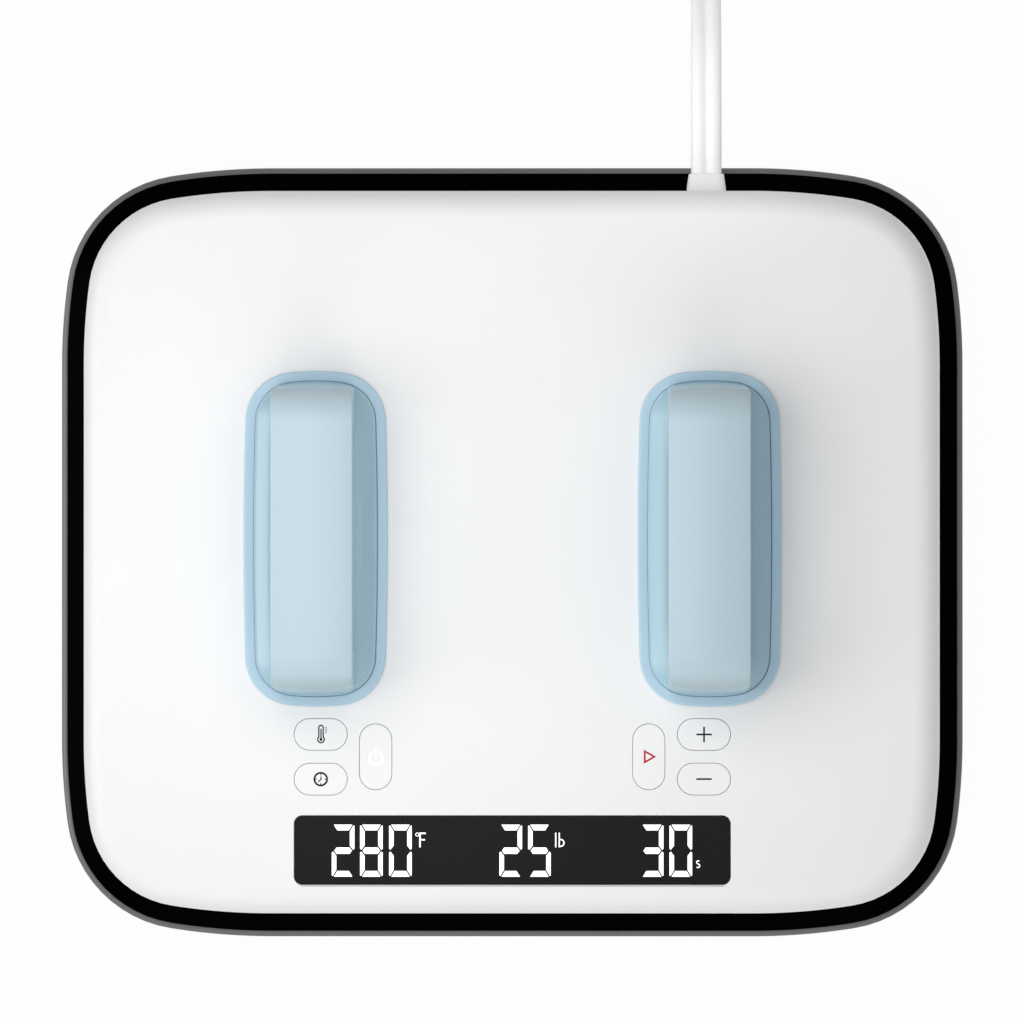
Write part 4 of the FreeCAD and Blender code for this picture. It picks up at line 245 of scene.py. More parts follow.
def rounded_polygon(corners, radii, count=9, spacing=None):
    """A polygon, given counter-clockwise, whose corners are arcs.

    At a corner the arc's centre is corner - radius * (n1 + n2) / (1 + n1.n2), where n1 and n2 are the
    outward directions of the two sides, and the radius is negative where the corner is hollow.
    With a spacing, straight runs get points at most that far apart.
    """
    corners = np.asarray(corners, float)
    along = unit(np.roll(corners, -1, axis=0) - corners)
    outward = np.stack((along[:, 1], -along[:, 0]), axis=1)
    radii = np.broadcast_to(np.asarray(radii, float), len(corners))
    arcs = []
    for i, corner in enumerate(corners):
        before, after = outward[i - 1], outward[i]
        turn = math.atan2(before[0] * after[1] - before[1] * after[0], before @ after)
        radius = math.copysign(radii[i], turn)
        centre = corner - radius * (before + after) / (1 + before @ after)
        start = math.atan2(before[1], before[0])
        arcs.append(arc_run(centre, radius, start, start + turn, count))
    runs = []
    for i, arc in enumerate(arcs):
        runs.append(arc)
        if spacing is None:
            continue
        following = arcs[(i + 1) % len(arcs)]
        begin = arc[0][-1] + arc[1][-1] * arc[2][-1]
        finish = following[0][0] + following[1][0] * following[2][0]
        steps = int(np.linalg.norm(finish - begin) / spacing) + 1
        share = np.arange(1, steps)[:, None] / steps
        points = begin + (finish - begin) * share
        runs.append((points, np.zeros(len(points)), np.tile(outward[i], (len(points), 1))))
    return join_runs(runs)


def rounded_rectangle(x, y, length, width, corner, count=13):
    """A rectangle round a middle, length on X and width on Y, whose four corners are arcs."""
    a, b = length / 2, width / 2
    return rounded_polygon([(x - a, y - b), (x + a, y - b), (x + a, y + b), (x - a, y + b)], corner, count)


def circle(x, y, diameter, count=49):
    """One arc all the way round a middle."""
    return join_runs([arc_run((x, y), diameter / 2, 0.0, 2 * math.pi, count)])


def quarter(inset, height, reach, rise, count=9):
    """A quarter ellipse of (inset, height) pairs, from upright at the start to level at the end.

    inset + reach * (1 - cos t), height + rise * sin t, with t from 0 to a right angle.
    """
    turn = np.linspace(0, math.pi / 2, count)
    return list(zip(inset + reach * (1 - np.cos(turn)), height + rise * np.sin(turn)))


def lower_quarter(low, size):
    """A quarter circle mirrored up and down: from level at its low end to upright at low + size."""
    turned = quarter(0.0, low + size, size, size)
    return [(inset, 2 * (low + size) - height) for inset, height in turned[::-1]]


def profile_grid(outline, profile):
    """A profile of (inset, height) pairs carried along an outline: one row for each pair."""
    rows = [np.insert(outline.line(inset), 2, height, axis=1) for inset, height in profile]
    return np.stack(rows)


def points_inside(points, loop):
    """Which points lie inside a closed line: a ray to the right crosses it an odd number of times."""
    x, y = points[:, :1], points[:, 1:]
    ax, ay = loop[:, 0], loop[:, 1]
    bx, by = np.roll(loop, -1, axis=0).T
    crosses = (ay > y) != (by > y)
    rise = np.where(by == ay, 1.0, by - ay)
    meets = ax + (y - ay) * (bx - ax) / rise
    return (crosses & (x < meets)).sum(axis=1) % 2 == 1


def fill_triangles(loops):
    """Triangles between an outer closed line and the holes in it, as points and indices."""
    points = np.concatenate(loops)
    edges, start = [], 0
    for loop in loops:
        index = np.arange(len(loop)) + start
        edges += np.stack((index, np.roll(index, -1)), axis=1).tolist()
        start += len(loop)
    found = delaunay_2d_cdt([Vector(point) for point in points], edges, [], 0, 1e-6)
    corners = np.array([tuple(point) for point in found[0]])
    faces = np.array([face for face in found[2] if len(face) == 3])
    middles = corners[faces].mean(axis=1)
    kept = points_inside(middles, loops[0])
    for hole in loops[1:]:
        kept &= ~points_inside(middles, hole)
    return corners, faces[kept]


class Piece:
    """Gathers the points and faces of one piece, in millimetres, with a finish number for each face."""

    def __init__(self):
        self.points, self.faces, self.finishes, self.count = [], [], [], 0

    def add(self, points, faces, finish=0):
        """Adds points, and faces whose numbers count from the first of them."""
        self.points.append(np.asarray(points, float))
        self.faces += (np.asarray(faces) + self.count).tolist()
        self.finishes += [finish] * len(faces)
        self.count += len(points)

    def add_grid(self, grid, rows_close=False, columns_close=True, finish=0):
        """Quads between neighbouring rows and columns of a grid of points."""
        rows, columns = grid.shape[:2]
        index = np.arange(rows * columns).reshape(rows, columns)
        if rows_close:
            index = np.concatenate((index, index[:1]))
        if columns_close:
            index = np.concatenate((index, index[:, :1]), axis=1)
        quads = np.stack((index[:-1, :-1], index[:-1, 1:], index[1:, 1:], index[1:, :-1]), axis=-1)
        self.add(grid.reshape(-1, 3), quads.reshape(-1, 4), finish)

    def add_cap(self, loops, height, axis=2, finish=0):
        """A flat face across an axis, between an outer line and its holes."""
        corners, faces = fill_triangles(loops)
        self.add(np.insert(corners, axis, height, axis=1), faces, finish)

    def add_sweep(self, outline, profile, closed=False, finish=0):
        """A profile carried along an outline, as a ring if it closes, or else with flat ends."""
        self.add_grid(profile_grid(outline, profile), rows_close=closed, finish=finish)
        if not closed:
            for inset, height in (profile[0], profile[-1]):
                self.add_cap([outline.line(inset)], height, finish=finish)

    def add_tube(self, rings):
        """A grid of rings, closed at both ends by triangles from the end ring to its middle."""
        self.add_grid(rings)
        count = rings.shape[1]
        index = np.arange(count)
        fan = np.stack((index, np.roll(index, -1), np.full(count, count)), axis=1)
        for ring in (rings[0], rings[-1]):
            self.add(np.concatenate((ring, ring.mean(axis=0, keepdims=True))), fan)

    def add_hole_wall(self, outline, top, bottom, edge=0.14, apart=0.4):
        """The wall of a hole with a softened upper edge. Returns the hole's lines in the two faces."""
        turn = np.linspace(0, math.pi / 2, 5)
        profile = [(-edge - apart, top), *zip(edge * (np.sin(turn) - 1), top - edge * (1 - np.cos(turn)))]
        profile += [(0.0, bottom)]
        self.add_grid(profile_grid(outline, profile))
        return outline.line(-edge - apart), outline.line(0.0)

    def add_stroke(self, points, width, low, high, closed=False, finish=0):
        """A line of even width and small thickness: each point moved half the width to both sides.

        At a point the move is along (n1 + n2) / (1 + d1.d2), where d1 and d2 are the directions of the
        steps before and after it and n1 and n2 are those turned to the left.
        """
        points = np.asarray(points, float)
        if closed:
            before = unit(points - np.roll(points, 1, axis=0))
            after = unit(np.roll(points, -1, axis=0) - points)
        else:
            steps = unit(np.diff(points, axis=0))
            before = np.concatenate((steps[:1], steps))
            after = np.concatenate((steps, steps[-1:]))
        both = before + after
        left = np.stack((-both[:, 1], both[:, 0]), axis=1)
        left /= (1 + (before * after).sum(axis=1))[:, None]
        sides = [(1, low), (1, high), (-1, high), (-1, low)]
        rows = [np.insert(points + left * (side * width / 2), 2, height, axis=1) for side, height in sides]
        grid = np.stack(rows)
        self.add_grid(grid, rows_close=True, columns_close=closed, finish=finish)
        if not closed:
            self.add(grid[:, 0], [[0, 1, 2, 3]], finish)
            self.add(grid[:, -1], [[3, 2, 1, 0]], finish)


def piece_mesh(name, piece):
    """A piece's points, in metres, and faces as a mesh."""
    mesh = bpy.data.meshes.new(name)
    mesh.from_pydata((np.concatenate(piece.points) * MM).tolist(), [], piece.faces)
    mesh.polygons.foreach_set("material_index", piece.finishes)
    return mesh


def weld(shape):
    """Merges the points of a bmesh that fall together and turns its faces outwards."""
    bmesh.ops.remove_doubles(shape, verts=shape.verts, dist=WELD)
    bmesh.ops.recalc_face_normals(shape, faces=shape.faces)


def make_object(name, piece, materials, nodes, body="press"):
    """Turns gathered points and faces into a welded mesh whose faces point outwards, riding on a body."""
    mesh = piece_mesh(name, piece)
    shape = bmesh.new()
    shape.from_mesh(mesh)
    weld(shape)
    shape.to_mesh(mesh)
    shape.free()
    return place_object(name, mesh, materials, nodes, body)


def place_object(name, mesh, materials, nodes, body="press"):
    """Makes an object of a mesh, which rides on a body and takes the place of CAD nodes."""
    mesh.shade_smooth()
    mesh.set_sharp_from_angle(angle=SHARP_TURN)
    made = bpy.data.objects.new(name, mesh)
    bpy.context.scene.collection.objects.link(made)
    for material in materials:
        mesh.materials.append(material)
    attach(made, body)
    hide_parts(*nodes)
    return made


# Materials


def fill_sockets(tree, node, values):
    """Gives each named input of a node its plain value, or joins it to another node's output."""
    for label, value in values.items():
        if isinstance(value, bpy.types.NodeSocket):
            tree.links.new(value, node.inputs[label])
        else:
            node.inputs[label].default_value = value


def add_node(tree, kind, values, **settings):
    """A new node with its settings and the values of its inputs."""
    node = tree.nodes.new(kind)
    for name, setting in settings.items():
        setattr(node, name, setting)
    fill_sockets(tree, node, values)
    return node


def object_place(tree):
    """Coordinates that are fixed to the piece."""
    return tree.nodes.new("ShaderNodeTexCoord").outputs["Object"]


def noise(tree, place, scale, detail=2.0, roughness=0.5):
    values = {"Vector": place, "Scale": scale, "Detail": detail, "Roughness": roughness}
    return add_node(tree, "ShaderNodeTexNoise", values).outputs["Fac"]


def spread(tree, value, low, high, to_low, to_high):
    """A value moved from one range to another, and held inside it."""
    values = {"Value": value, "From Min": low, "From Max": high, "To Min": to_low, "To Max": to_high}
    return add_node(tree, "ShaderNodeMapRange", values).outputs["Result"]


def calculate(tree, operation, *values):
    """One sum of plain values and other nodes' outputs."""
    node = add_node(tree, "ShaderNodeMath", dict(enumerate(values)), operation=operation)
    return node.outputs["Value"]


def uneven(tree, roughness, pattern, amount):
    """A roughness plus (pattern - 1/2) * amount."""
    wander = calculate(tree, "MULTIPLY", calculate(tree, "SUBTRACT", pattern, 0.5), amount)
    return calculate(tree, "ADD", roughness, wander)


def tint(tree, colour, factor):
    """A colour times a factor."""
    values = {0: colour, "Scale": factor}
    return add_node(tree, "ShaderNodeVectorMath", values, operation="SCALE").outputs["Vector"]


def mix_colours(tree, factor, first, second):
    values = {"Factor": factor, "A": first, "B": second}
    return add_node(tree, "ShaderNodeMix", values, data_type="RGBA").outputs["Result"]


def mix_shaders(tree, factor, first, second):
    values = {"Fac": factor, 1: first.outputs[0], 2: second.outputs[0]}
    return add_node(tree, "ShaderNodeMixShader", values)


def bump(tree, height, distance, strength=1.0):
    values = {"Height": height, "Distance": distance, "Strength": strength}
    return add_node(tree, "ShaderNodeBump", values).outputs["Normal"]


# What a surface group puts out, with the shader's input that each feeds
SURFACE_RESULTS = (
    ("Colour", "NodeSocketColor", "Base Color"),
    ("Roughness", "NodeSocketFloat", "Roughness"),
    ("Normal", "NodeSocketVector", "Normal"),
)


def new_group(name, inputs):
    """An empty surface group with its sockets: the group, what it is given and its output node."""
    group = bpy.data.node_groups.new(name, "ShaderNodeTree")
    for label, kind, default in inputs:
        socket = group.interface.new_socket(label, in_out="INPUT", socket_type=kind)
        socket.default_value = default
    for label, kind, _ in SURFACE_RESULTS:
        group.interface.new_socket(label, in_out="OUTPUT", socket_type=kind)
    return group, group.nodes.new("NodeGroupInput").outputs, group.nodes.new("NodeGroupOutput")


def moulded_group(name):
    """Moulded plastic: a fine grain in the surface, faint clouds in the colour and uneven gloss."""
    group, given, results = new_group(
        name,
        [
            ("Colour", "NodeSocketColor", (0.8, 0.8, 0.8, 1.0)),
            ("Roughness", "NodeSocketFloat", 0.4),
            ("Grain Scale", "NodeSocketFloat", 2400.0),
            ("Grain Depth", "NodeSocketFloat", 0.00001),
            ("Cloud Amount", "NodeSocketFloat", 0.02),
        ],
    )
    place = object_place(group)
    grain = noise(group, place, given["Grain Scale"], detail=3.0)
    clouds = noise(group, place, 28.0, detail=4.0, roughness=0.6)
    least = calculate(group, "SUBTRACT", 1.0, given["Cloud Amount"])
    values = {
        "Colour": tint(group, given["Colour"], spread(group, clouds, 0.3, 0.7, least, 1.0)),
        "Roughness": uneven(group, given["Roughness"], clouds, 0.12),
        "Normal": bump(group, grain, given["Grain Depth"]),
    }
    fill_sockets(group, results, values)
    return group


def metal_group(name):
    """Drawn or machined metal: fine scratches stretched along one way, and stains from heat and hands."""
    group, given, results = new_group(
        name,
        [
            ("Colour", "NodeSocketColor", (0.6, 0.6, 0.6, 1.0)),
            ("Stain", "NodeSocketColor", (0.3, 0.25, 0.2, 1.0)),
            ("Stain Amount", "NodeSocketFloat", 0.15),
            ("Roughness", "NodeSocketFloat", 0.35),
        ],
    )
    place = object_place(group)
    stretched = add_node(group, "ShaderNodeMapping", {"Vector": place, "Scale": (1.0, 26.0, 26.0)})
    scratches = noise(group, stretched.outputs["Vector"], 120.0, detail=4.0, roughness=0.65)
    clouds = noise(group, place, 55.0, detail=4.0, roughness=0.6)
    share = spread(group, clouds, 0.45, 0.75, 0.0, 1.0)
    stain = calculate(group, "MULTIPLY", share, given["Stain Amount"])
    values = {
        "Colour": mix_colours(group, stain, given["Colour"], given["Stain"]),
        "Roughness": uneven(group, given["Roughness"], scratches, 0.3),
        "Normal": bump(group, scratches, 0.00004, 0.35),
    }
    fill_sockets(group, results, values)
    return group


SURFACE_GROUPS = {"moulded_plastic_surface": moulded_group, "worked_metal_surface": metal_group}


def new_material(name, colour, metallic=0.0, specular=0.5):
    """A new material with its node tree and its shader."""
    material = bpy.data.materials.new(name)
    material.use_nodes = True
    material.diffuse_color = (*colour, 1.0)
    tree = material.node_tree
    shader = tree.nodes["Principled BSDF"]
    fill_sockets(tree, shader, {"Metallic": metallic, "Specular IOR Level": specular})
    return material, tree, shader


def surface_material(name, colour, surface, values, **settings):
    """A material with a surface group in it. A material and a group are both made only once."""
    made = bpy.data.materials.get(name)
    if made:
        return made
    material, tree, shader = new_material(name, colour, **settings)
    group = bpy.data.node_groups.get(surface) or SURFACE_GROUPS[surface](surface)
    values = {"Colour": (*colour, 1.0), **values}
    placed = add_node(tree, "ShaderNodeGroup", values, node_tree=group)
    fill_sockets(tree, shader, {label: placed.outputs[result] for result, _, label in SURFACE_RESULTS})
    return material


def plastic(name, colour, roughness=0.4, grain=2400.0, depth=0.00001, clouds=0.02, specular=0.3):
    """Moulded plastic or a smooth coating: the grain's scale and depth, and how cloudy the colour is."""
    values = {"Roughness": roughness, "Grain Scale": grain, "Grain Depth": depth, "Cloud Amount": clouds}
    return surface_material(name, colour, "moulded_plastic_surface", values, specular=specular)


def metal(name, colour, roughness, stain, stain_amount):
    """Scratched bare metal with stains of another colour."""
    values = {"Roughness": roughness, "Stain": (*stain, 1.0), "Stain Amount": stain_amount}
    return surface_material(name, colour, "worked_metal_surface", values, metallic=1.0)


def lit(name, colour, strength):
    """A lit mark that shows its own colour, a little unevenly."""
    material, tree, shader = new_material(name, colour)
    glow = spread(tree, noise(tree, object_place(tree), 300.0), 0.3, 0.7, 0.97, 1.0)
    base = tree.nodes.new("ShaderNodeRGB").outputs["Color"]
    base.default_value = (*colour, 1.0)
    values = {
        "Base Color": (*colour, 1.0),
        "Emission Color": tint(tree, base, glow),
        "Emission Strength": strength,
        "Roughness": 0.4,
    }
    fill_sockets(tree, shader, values)
    return material


# Camera, lamps and floor

WHITE = (1.0, 1.0, 1.0, 1.0)
CAMERA_PLACE = (0.0273, -0.0050, 4.266)
CAMERA_TARGET = (0.0002, 0.0153, 0.066)
CAMERA_LENS = 386.5
SENSOR_WIDTH = 36.0
LAMP_TARGET = (0.0, 0.0, 0.07)
# Each lamp's place and width, in metres
LAMPS = {
    "upper_lamp": ((-0.093, 0.03, 0.42), 0.3),
    "side_lamp": ((-0.90, -0.20, 0.50), 0.6),
    "front_lamp": ((0.0, -1.4, 1.0), 1.5),
    "cord_lamp": ((CORD_X * MM, 0.19, 0.30), 0.06),
    "sheen_lamp": ((-1.3, 0.0, 0.55), 0.9),
}
CORD_LAMP_BEAM = math.radians(36)
FLOOR_REACH, FLOOR_HEIGHT = 6.0, -0.0003
# The share of plain white in what the camera sees of the floor; the rest is its shaded surface
FLOOR_WHITE = 0.97


def make_camera():
    """The camera over the press, which looks at its target with Y upwards in the picture."""
    data = bpy.data.cameras.new("camera")
    data.sensor_width = SENSOR_WIDTH
    data.lens = CAMERA_LENS
    data.clip_start, data.clip_end = 0.1, 50.0
    camera = bpy.data.objects.new("camera", data)
    bpy.context.scene.collection.objects.link(camera)
    ahead = (Vector(CAMERA_TARGET) - Vector(CAMERA_PLACE)).normalized()
    right = ahead.cross(Vector((0, 1, 0))).normalized()
    up = right.cross(ahead)
    turn = Matrix((right, up, -ahead)).transposed().to_4x4()
    camera.matrix_world = Matrix.Translation(CAMERA_PLACE) @ turn
    bpy.context.scene.camera = camera


def make_lamp(name, power, target=LAMP_TARGET, beam=math.pi, reflection_only=False):
    """A square lamp that points at the press or at another place, and isn't seen itself."""
    place, size = LAMPS[name]
    data = bpy.data.lights.new(name, "AREA")
    data.size = size
    data.energy = power
    data.spread = beam
    lamp = bpy.data.objects.new(name, data)
    bpy.context.scene.collection.objects.link(lamp)
    lamp.visible_camera = False
    lamp.visible_diffuse = not reflection_only
    lamp.location = place
    ahead = Vector(target) - Vector(place)
    lamp.rotation_mode = "QUATERNION"
    lamp.rotation_quaternion = ahead.to_track_quat("-Z", "Y")


def seen_directly(tree):
    """1 for rays from the camera and for those that a shiny or clear surface sends on, else 0."""
    rays = tree.nodes.new("ShaderNodeLightPath")
    either = calculate(tree, "MAXIMUM", rays.outputs["Is Camera Ray"], rays.outputs["Is Glossy Ray"])
    return calculate(tree, "MAXIMUM", either, rays.outputs["Is Transmission Ray"])


def make_sky(strength):
    """An even light that looks white to the camera and in reflections."""
    world = bpy.data.worlds.new("studio")
    world.use_nodes = True
    bpy.context.scene.world = world
    tree = world.node_tree
    shown = spread(tree, seen_directly(tree), 0.0, 1.0, strength, 1.0)
    fill_sockets(tree, tree.nodes["Background"], {"Color": WHITE, "Strength": shown})


def make_floor(colour):
    """A flat square under the object: white to the camera, with part of the shadow, and clear from below."""
    mesh = bpy.data.meshes.new("floor")
    corners = [(-1, -1), (1, -1), (1, 1), (-1, 1)]
    points = [(x * FLOOR_REACH, y * FLOOR_REACH, FLOOR_HEIGHT) for x, y in corners]
    mesh.from_pydata(points, [], [(0, 1, 2, 3)])
    floor = bpy.data.objects.new("floor", mesh)
    bpy.context.scene.collection.objects.link(floor)
    material, tree, shader = new_material("floor_white", colour, specular=0.0)
    fill_sockets(tree, shader, {"Base Color": (*colour, 1.0), "Roughness": 0.9})
    glow = add_node(tree, "ShaderNodeEmission", {"Color": WHITE})
    above = mix_shaders(tree, calculate(tree, "MULTIPLY", seen_directly(tree), FLOOR_WHITE), shader, glow)
    below = tree.nodes.new("ShaderNodeBsdfTransparent")
    from_below = tree.nodes.new("ShaderNodeNewGeometry").outputs["Backfacing"]
    both = mix_shaders(tree, from_below, above, below)
    tree.links.new(both.outputs["Shader"], tree.nodes["Material Output"].inputs["Surface"])
    mesh.materials.append(material)


class HEATPRESS_OT_stage(bpy.types.Operator):
    """Makes the camera, the lamps, the even light and the floor"""

    bl_idname = "heat_press.make_stage"
    bl_label = "Stage"

    def execute(self, context):
        settings = context.scene.heat_press_stage
        make_camera()
        make_lamp("upper_lamp", settings.over_power)
        make_lamp("side_lamp", settings.side_power)
        make_lamp("front_lamp", settings.front_power)
        x, y, _ = LAMPS["cord_lamp"][0]
        make_lamp("cord_lamp", settings.cord_power, (x, y, 0.0), CORD_LAMP_BEAM)
        make_lamp("sheen_lamp", settings.sheen_power, reflection_only=True)
        make_sky(settings.sky_strength)
        make_floor(settings.floor_colour)
        context.scene.view_settings.view_transform = "Standard"
        return {"FINISHED"}


# Cord, boot and plug

# The cord's way from the housing to the floor, as Y and Z
CORD_RUN = [(145.0, 41.0), (187.0, 41.0), (245.0, 5.95), (302.0, 5.95)]
COIL_CENTRE = (7.7, 313.8)
COIL_REACH = 67.0
COIL_PITCH = 6.6
COIL_LOW, COIL_HIGH = 5.95, 18.25
# Quarter turns on the floor, in the climb and on top
COIL_FLOOR, COIL_CLIMB, COIL_TOP = 7, 2, 8
TAIL_RUN = [(-15.9, 382.45, 18.25), (-53.34, 382.45, 11.2), (-67.9, 382.45, 11.2)]
POINTS_PER_TURN = 16
# The cord turns on edge between these two distances from the boot
TWIST_START, TWIST_END = 45.0, 164.6
# The boot's sleeve before its collar, the collar's thickness and the end of the neck behind it
BOOT_SLEEVE, BOOT_COLLAR, BOOT_NECK_END = 13.0, 2.4, 138.5
# The plug's relief: where its ribs start from the cord's end, their number and their length together
RIBS_START, RIB_COUNT, RIBS_LENGTH = 2.0, 5, 16.0
# One rib: distance along it and how far it stands out
RIB = ((0.0, -0.7), (0.35, -0.1), (0.8, 0.0), (1.9, 0.1), (2.35, 0.0), (2.7, -0.7))
# The plug's body: distance from the cord's end, half the size on Y and on Z, and the corner
PLUG_BODY = (
    (19.2, 5.2, 7.6, 3.0),
    (20.0, 6.4, 8.0, 3.6),
    (21.2, 7.2, 8.7, 4.0),
    (23.5, 8.2, 9.7, 4.6),
    (27.0, 9.0, 11.0, 5.0),
    (36.0, 8.8, 10.8, 5.0),
    (45.6, 9.0, 11.0, 5.0),
    (49.0, 8.6, 10.5, 4.6),
    (51.2, 8.15, 10.0, 4.2),
    (51.8, 7.9, 9.7, 4.0),
    (52.0, 7.5, 9.3, 3.8),
)


def coil_points():
    """Control points of the coil: a spiral in along the floor, up a layer, and out again on top.

    Each stands at centre + reach / cos(half step) * (cos a, sin a), so the line between two points
    touches the turn, and the reach shrinks by the pitch in each turn and grows again.
    """
    quarters = COIL_FLOOR + COIL_CLIMB + COIL_TOP
    step = 2 * math.pi / POINTS_PER_TURN
    angle = (np.arange(quarters * POINTS_PER_TURN // 4) + 0.5) * step
    place = angle / (math.pi / 2)
    knots = np.arange(quarters + 1)
    turned_in = np.minimum(knots, quarters - 1 - knots)
    turned_in[COIL_FLOOR : COIL_FLOOR + COIL_CLIMB + 1] = COIL_FLOOR + COIL_CLIMB
    reach = np.interp(place, knots, COIL_REACH - COIL_PITCH / 4 * turned_in) / math.cos(step / 2)
    height = np.interp(place, (COIL_FLOOR, COIL_FLOOR + COIL_CLIMB), (COIL_LOW, COIL_HIGH))
    x = COIL_CENTRE[0] + reach * np.cos(angle)
    y = COIL_CENTRE[1] + reach * np.sin(angle)
    return np.stack((x, y, height), axis=1)


def cord_route():
    """The cord's line, read from one spline whose control points are the route's points."""
    run = [(CORD_X, y, z) for y, z in CORD_RUN]
    points = np.concatenate((run, coil_points(), TAIL_RUN)) * MM
    curve = bpy.data.curves.new("cord_route", "CURVE")
    curve.dimensions = "3D"
    curve.resolution_u = 8
    spline = curve.splines.new("NURBS")
    spline.points.add(len(points) - 1)
    spline.points.foreach_set("co", np.insert(points, 3, 1.0, axis=1).ravel())
    spline.order_u = 3
    spline.use_endpoint_u = True
    holder = bpy.data.objects.new("cord_route", curve)
    bpy.context.scene.collection.objects.link(holder)
    line = bpy.data.meshes.new_from_object(holder)
    route = np.empty(len(line.vertices) * 3)
    line.vertices.foreach_get("co", route)
    bpy.data.objects.remove(holder)
    bpy.data.curves.remove(curve)
    bpy.data.meshes.remove(line)
    return route.reshape(-1, 3) / MM


def twin_section(strand, width, count=13):
    """Half the cord's outline on each side: two circles that meet in a groove, as (across, up) pairs."""
    radius = strand / 2
    offset = width / 2 - radius
    reach = math.pi - math.acos(offset / radius)
    turn = np.linspace(-reach, reach, count)
    right = np.stack((offset + radius * np.cos(turn), radius * np.sin(turn)), axis=1)
    return np.concatenate((right[:-1], -right[:-1]))


def cord_tube(route, strand, width):
    """The twin section carried along the route.

    At distance s the section is turned by a quarter turn times a smooth step, so it leaves the boot
    flat and reaches the coil on edge. Across is the level direction beside the route.
    """
    steps = np.linalg.norm(np.diff(route, axis=0), axis=1)
    distance = np.concatenate(([0.0], np.cumsum(steps)))
    along = unit(np.gradient(route, axis=0))
    across = unit(np.cross(along, (0.0, 0.0, 1.0)))
    up = np.cross(across, along)
    turn = math.pi / 2 * smooth_step(distance, TWIST_START, TWIST_END)[:, None, None]
    section = twin_section(strand, width)
    wide = np.cos(turn) * across[:, None] + np.sin(turn) * up[:, None]
    tall = np.cos(turn) * up[:, None] - np.sin(turn) * across[:, None]
    return route[:, None] + wide * section[None, :, :1] + tall * section[None, :, 1:], distance[-1]


def loft_grid(sections, axis):
    """Rounded rectangles across an axis, each (place, middle, half sizes, corner)."""
    rows = []
    for place, middle, halves, corner in sections:
        ring = rounded_rectangle(*middle, 2 * halves[0], 2 * halves[1], corner, 9)
        rows.append(np.insert(ring.line(), axis, place, axis=1))
    return np.stack(rows)


class HEATPRESS_OT_cord(bpy.types.Operator):
    """Makes the flat twin cord with its coil, the boot at the housing and the plug"""

    bl_idname = "heat_press.make_cord"
    bl_label = "Cord, boot and plug"

    def execute(self, context):
        settings = context.scene.heat_press_cord
        strand, width = settings.strand / MM, settings.width / MM
        skin = plastic("cord_skin", settings.colour, roughness=0.42, grain=900.0, depth=0.00002, clouds=0.03)
        route = cord_route()
        grid, length = cord_tube(route, strand, width)
        piece = Piece()
        piece.add_tube(grid)
        cord = make_object("mains_cord", piece, [skin], ["cord_stretch", "cord_coil"])
        plug = self.make_plug(skin)
        self.make_boot(skin)
        return {"FINISHED"}

    def make_boot(self, skin):
        """A tapered nose outside the wall, a neck through it, and the collar and sleeve behind it."""
        low, high = cad_box("strain_relief_boot")
        middle = (CORD_X, CORD_RUN[0][1])
        collar = low[1] + BOOT_SLEEVE
        neck = collar + BOOT_COLLAR
        sections = [
            (low[1], middle, (6.8, 4.0), 2.8),
            (collar, middle, (6.8, 4.0), 2.8),
            (collar, middle, (9.8, 7.4), 3.0),
            (neck, middle, (9.8, 7.4), 3.0),
            (neck, middle, (7.6, 5.2), 3.4),
            (BOOT_NECK_END, middle, (7.6, 5.2), 3.4),
            (BOOT_NECK_END + 2.0, middle, (7.42, 4.9), 3.3),
            (BOOT_NECK_END + 4.2, middle, (7.12, 4.45), 3.1),
            (high[1] - 0.1, middle, (6.8, 4.05), 2.9),
            (high[1] + 0.25, middle, (6.66, 3.9), 2.8),
            (high[1] + 0.35, middle, (6.35, 3.6), 2.6),
        ]
        piece = Piece()
        piece.add_tube(loft_grid(sections, 1))
        make_object("cord_boot", piece, [skin], ["strain_relief_boot"])

    def make_plug(self, skin):
        """A ribbed relief that widens into a rounded body with a flat face for the pins."""
        start, *middle = TAIL_RUN[-1]
        sections = [(start, middle, (3.7, 6.4), 2.4)]
        for i in range(RIB_COUNT):
            share = i / RIB_COUNT
            half_y, half_z = 4.0 + 1.2 * share, 6.7 + 1.0 * share
            at = start - RIBS_START - share * RIBS_LENGTH
            for shift, grow in RIB:
                sections.append((at - shift, middle, (half_y + grow, half_z + grow), 2.5))
        for distance, half_y, half_z, corner in PLUG_BODY:
            sections.append((start - distance, middle, (half_y, half_z), corner))
        piece = Piece()
        piece.add_tube(loft_grid(sections, 0))
        return make_object("mains_plug", piece, [skin], ["plug_body"])


# Casing

# Half the length, half the width and the corners' radius, then the radius and the turn in degrees of
# the long arcs that ease the short and the long sides into the corners
HOUSING = (float(HOUSING_HIGH[0]), 148.2, 47.6, (240.0, 7.75), (250.0, 9.06))
SHELL_INSET = 9.9
# The shell's flat faces begin this far inside its round edge
FLAT_START = 0.8
# The ring's section as inset and height: its lip and the slope up to the shell, then back underneath
RING_SLOPE = (
    (2.2, 26.0), (2.2, 26.7), (2.28, 27.05), (2.5, 27.4), (2.9, 27.65), (3.5, 27.97),
    (8.3, 30.83), (8.8, 31.1), (9.2, 31.3), (9.6, 31.45), (10.2, 31.5),
)
RING_UNDERSIDE = (
    (21.6, 31.5), (21.6, 30.0), (10.3, 30.0), (4.9, 26.0), (4.9, 22.0), (2.9, 22.0), (2.9, 26.0),
)
SKIRT_TOP = 26.0
SKIRT_WALL, SKIRT_FLOOR = 2.6, 2.5
SKIRT_LOWER_EDGE, SKIRT_UPPER_EDGE = 2.4, 2.1
# The way for the plate in the skirt's floor: length, width and corner
PLATE_WAY = (310.8, 260.0, 48.0)
PLATE_THICKNESS, PLATE_CORNER, PLATE_EDGE = 8.0, 45.0, 1.5
SCREW_PLACES = [(x, y) for x in (-145.56, 145.56) for y in (-119.80, 119.80)]
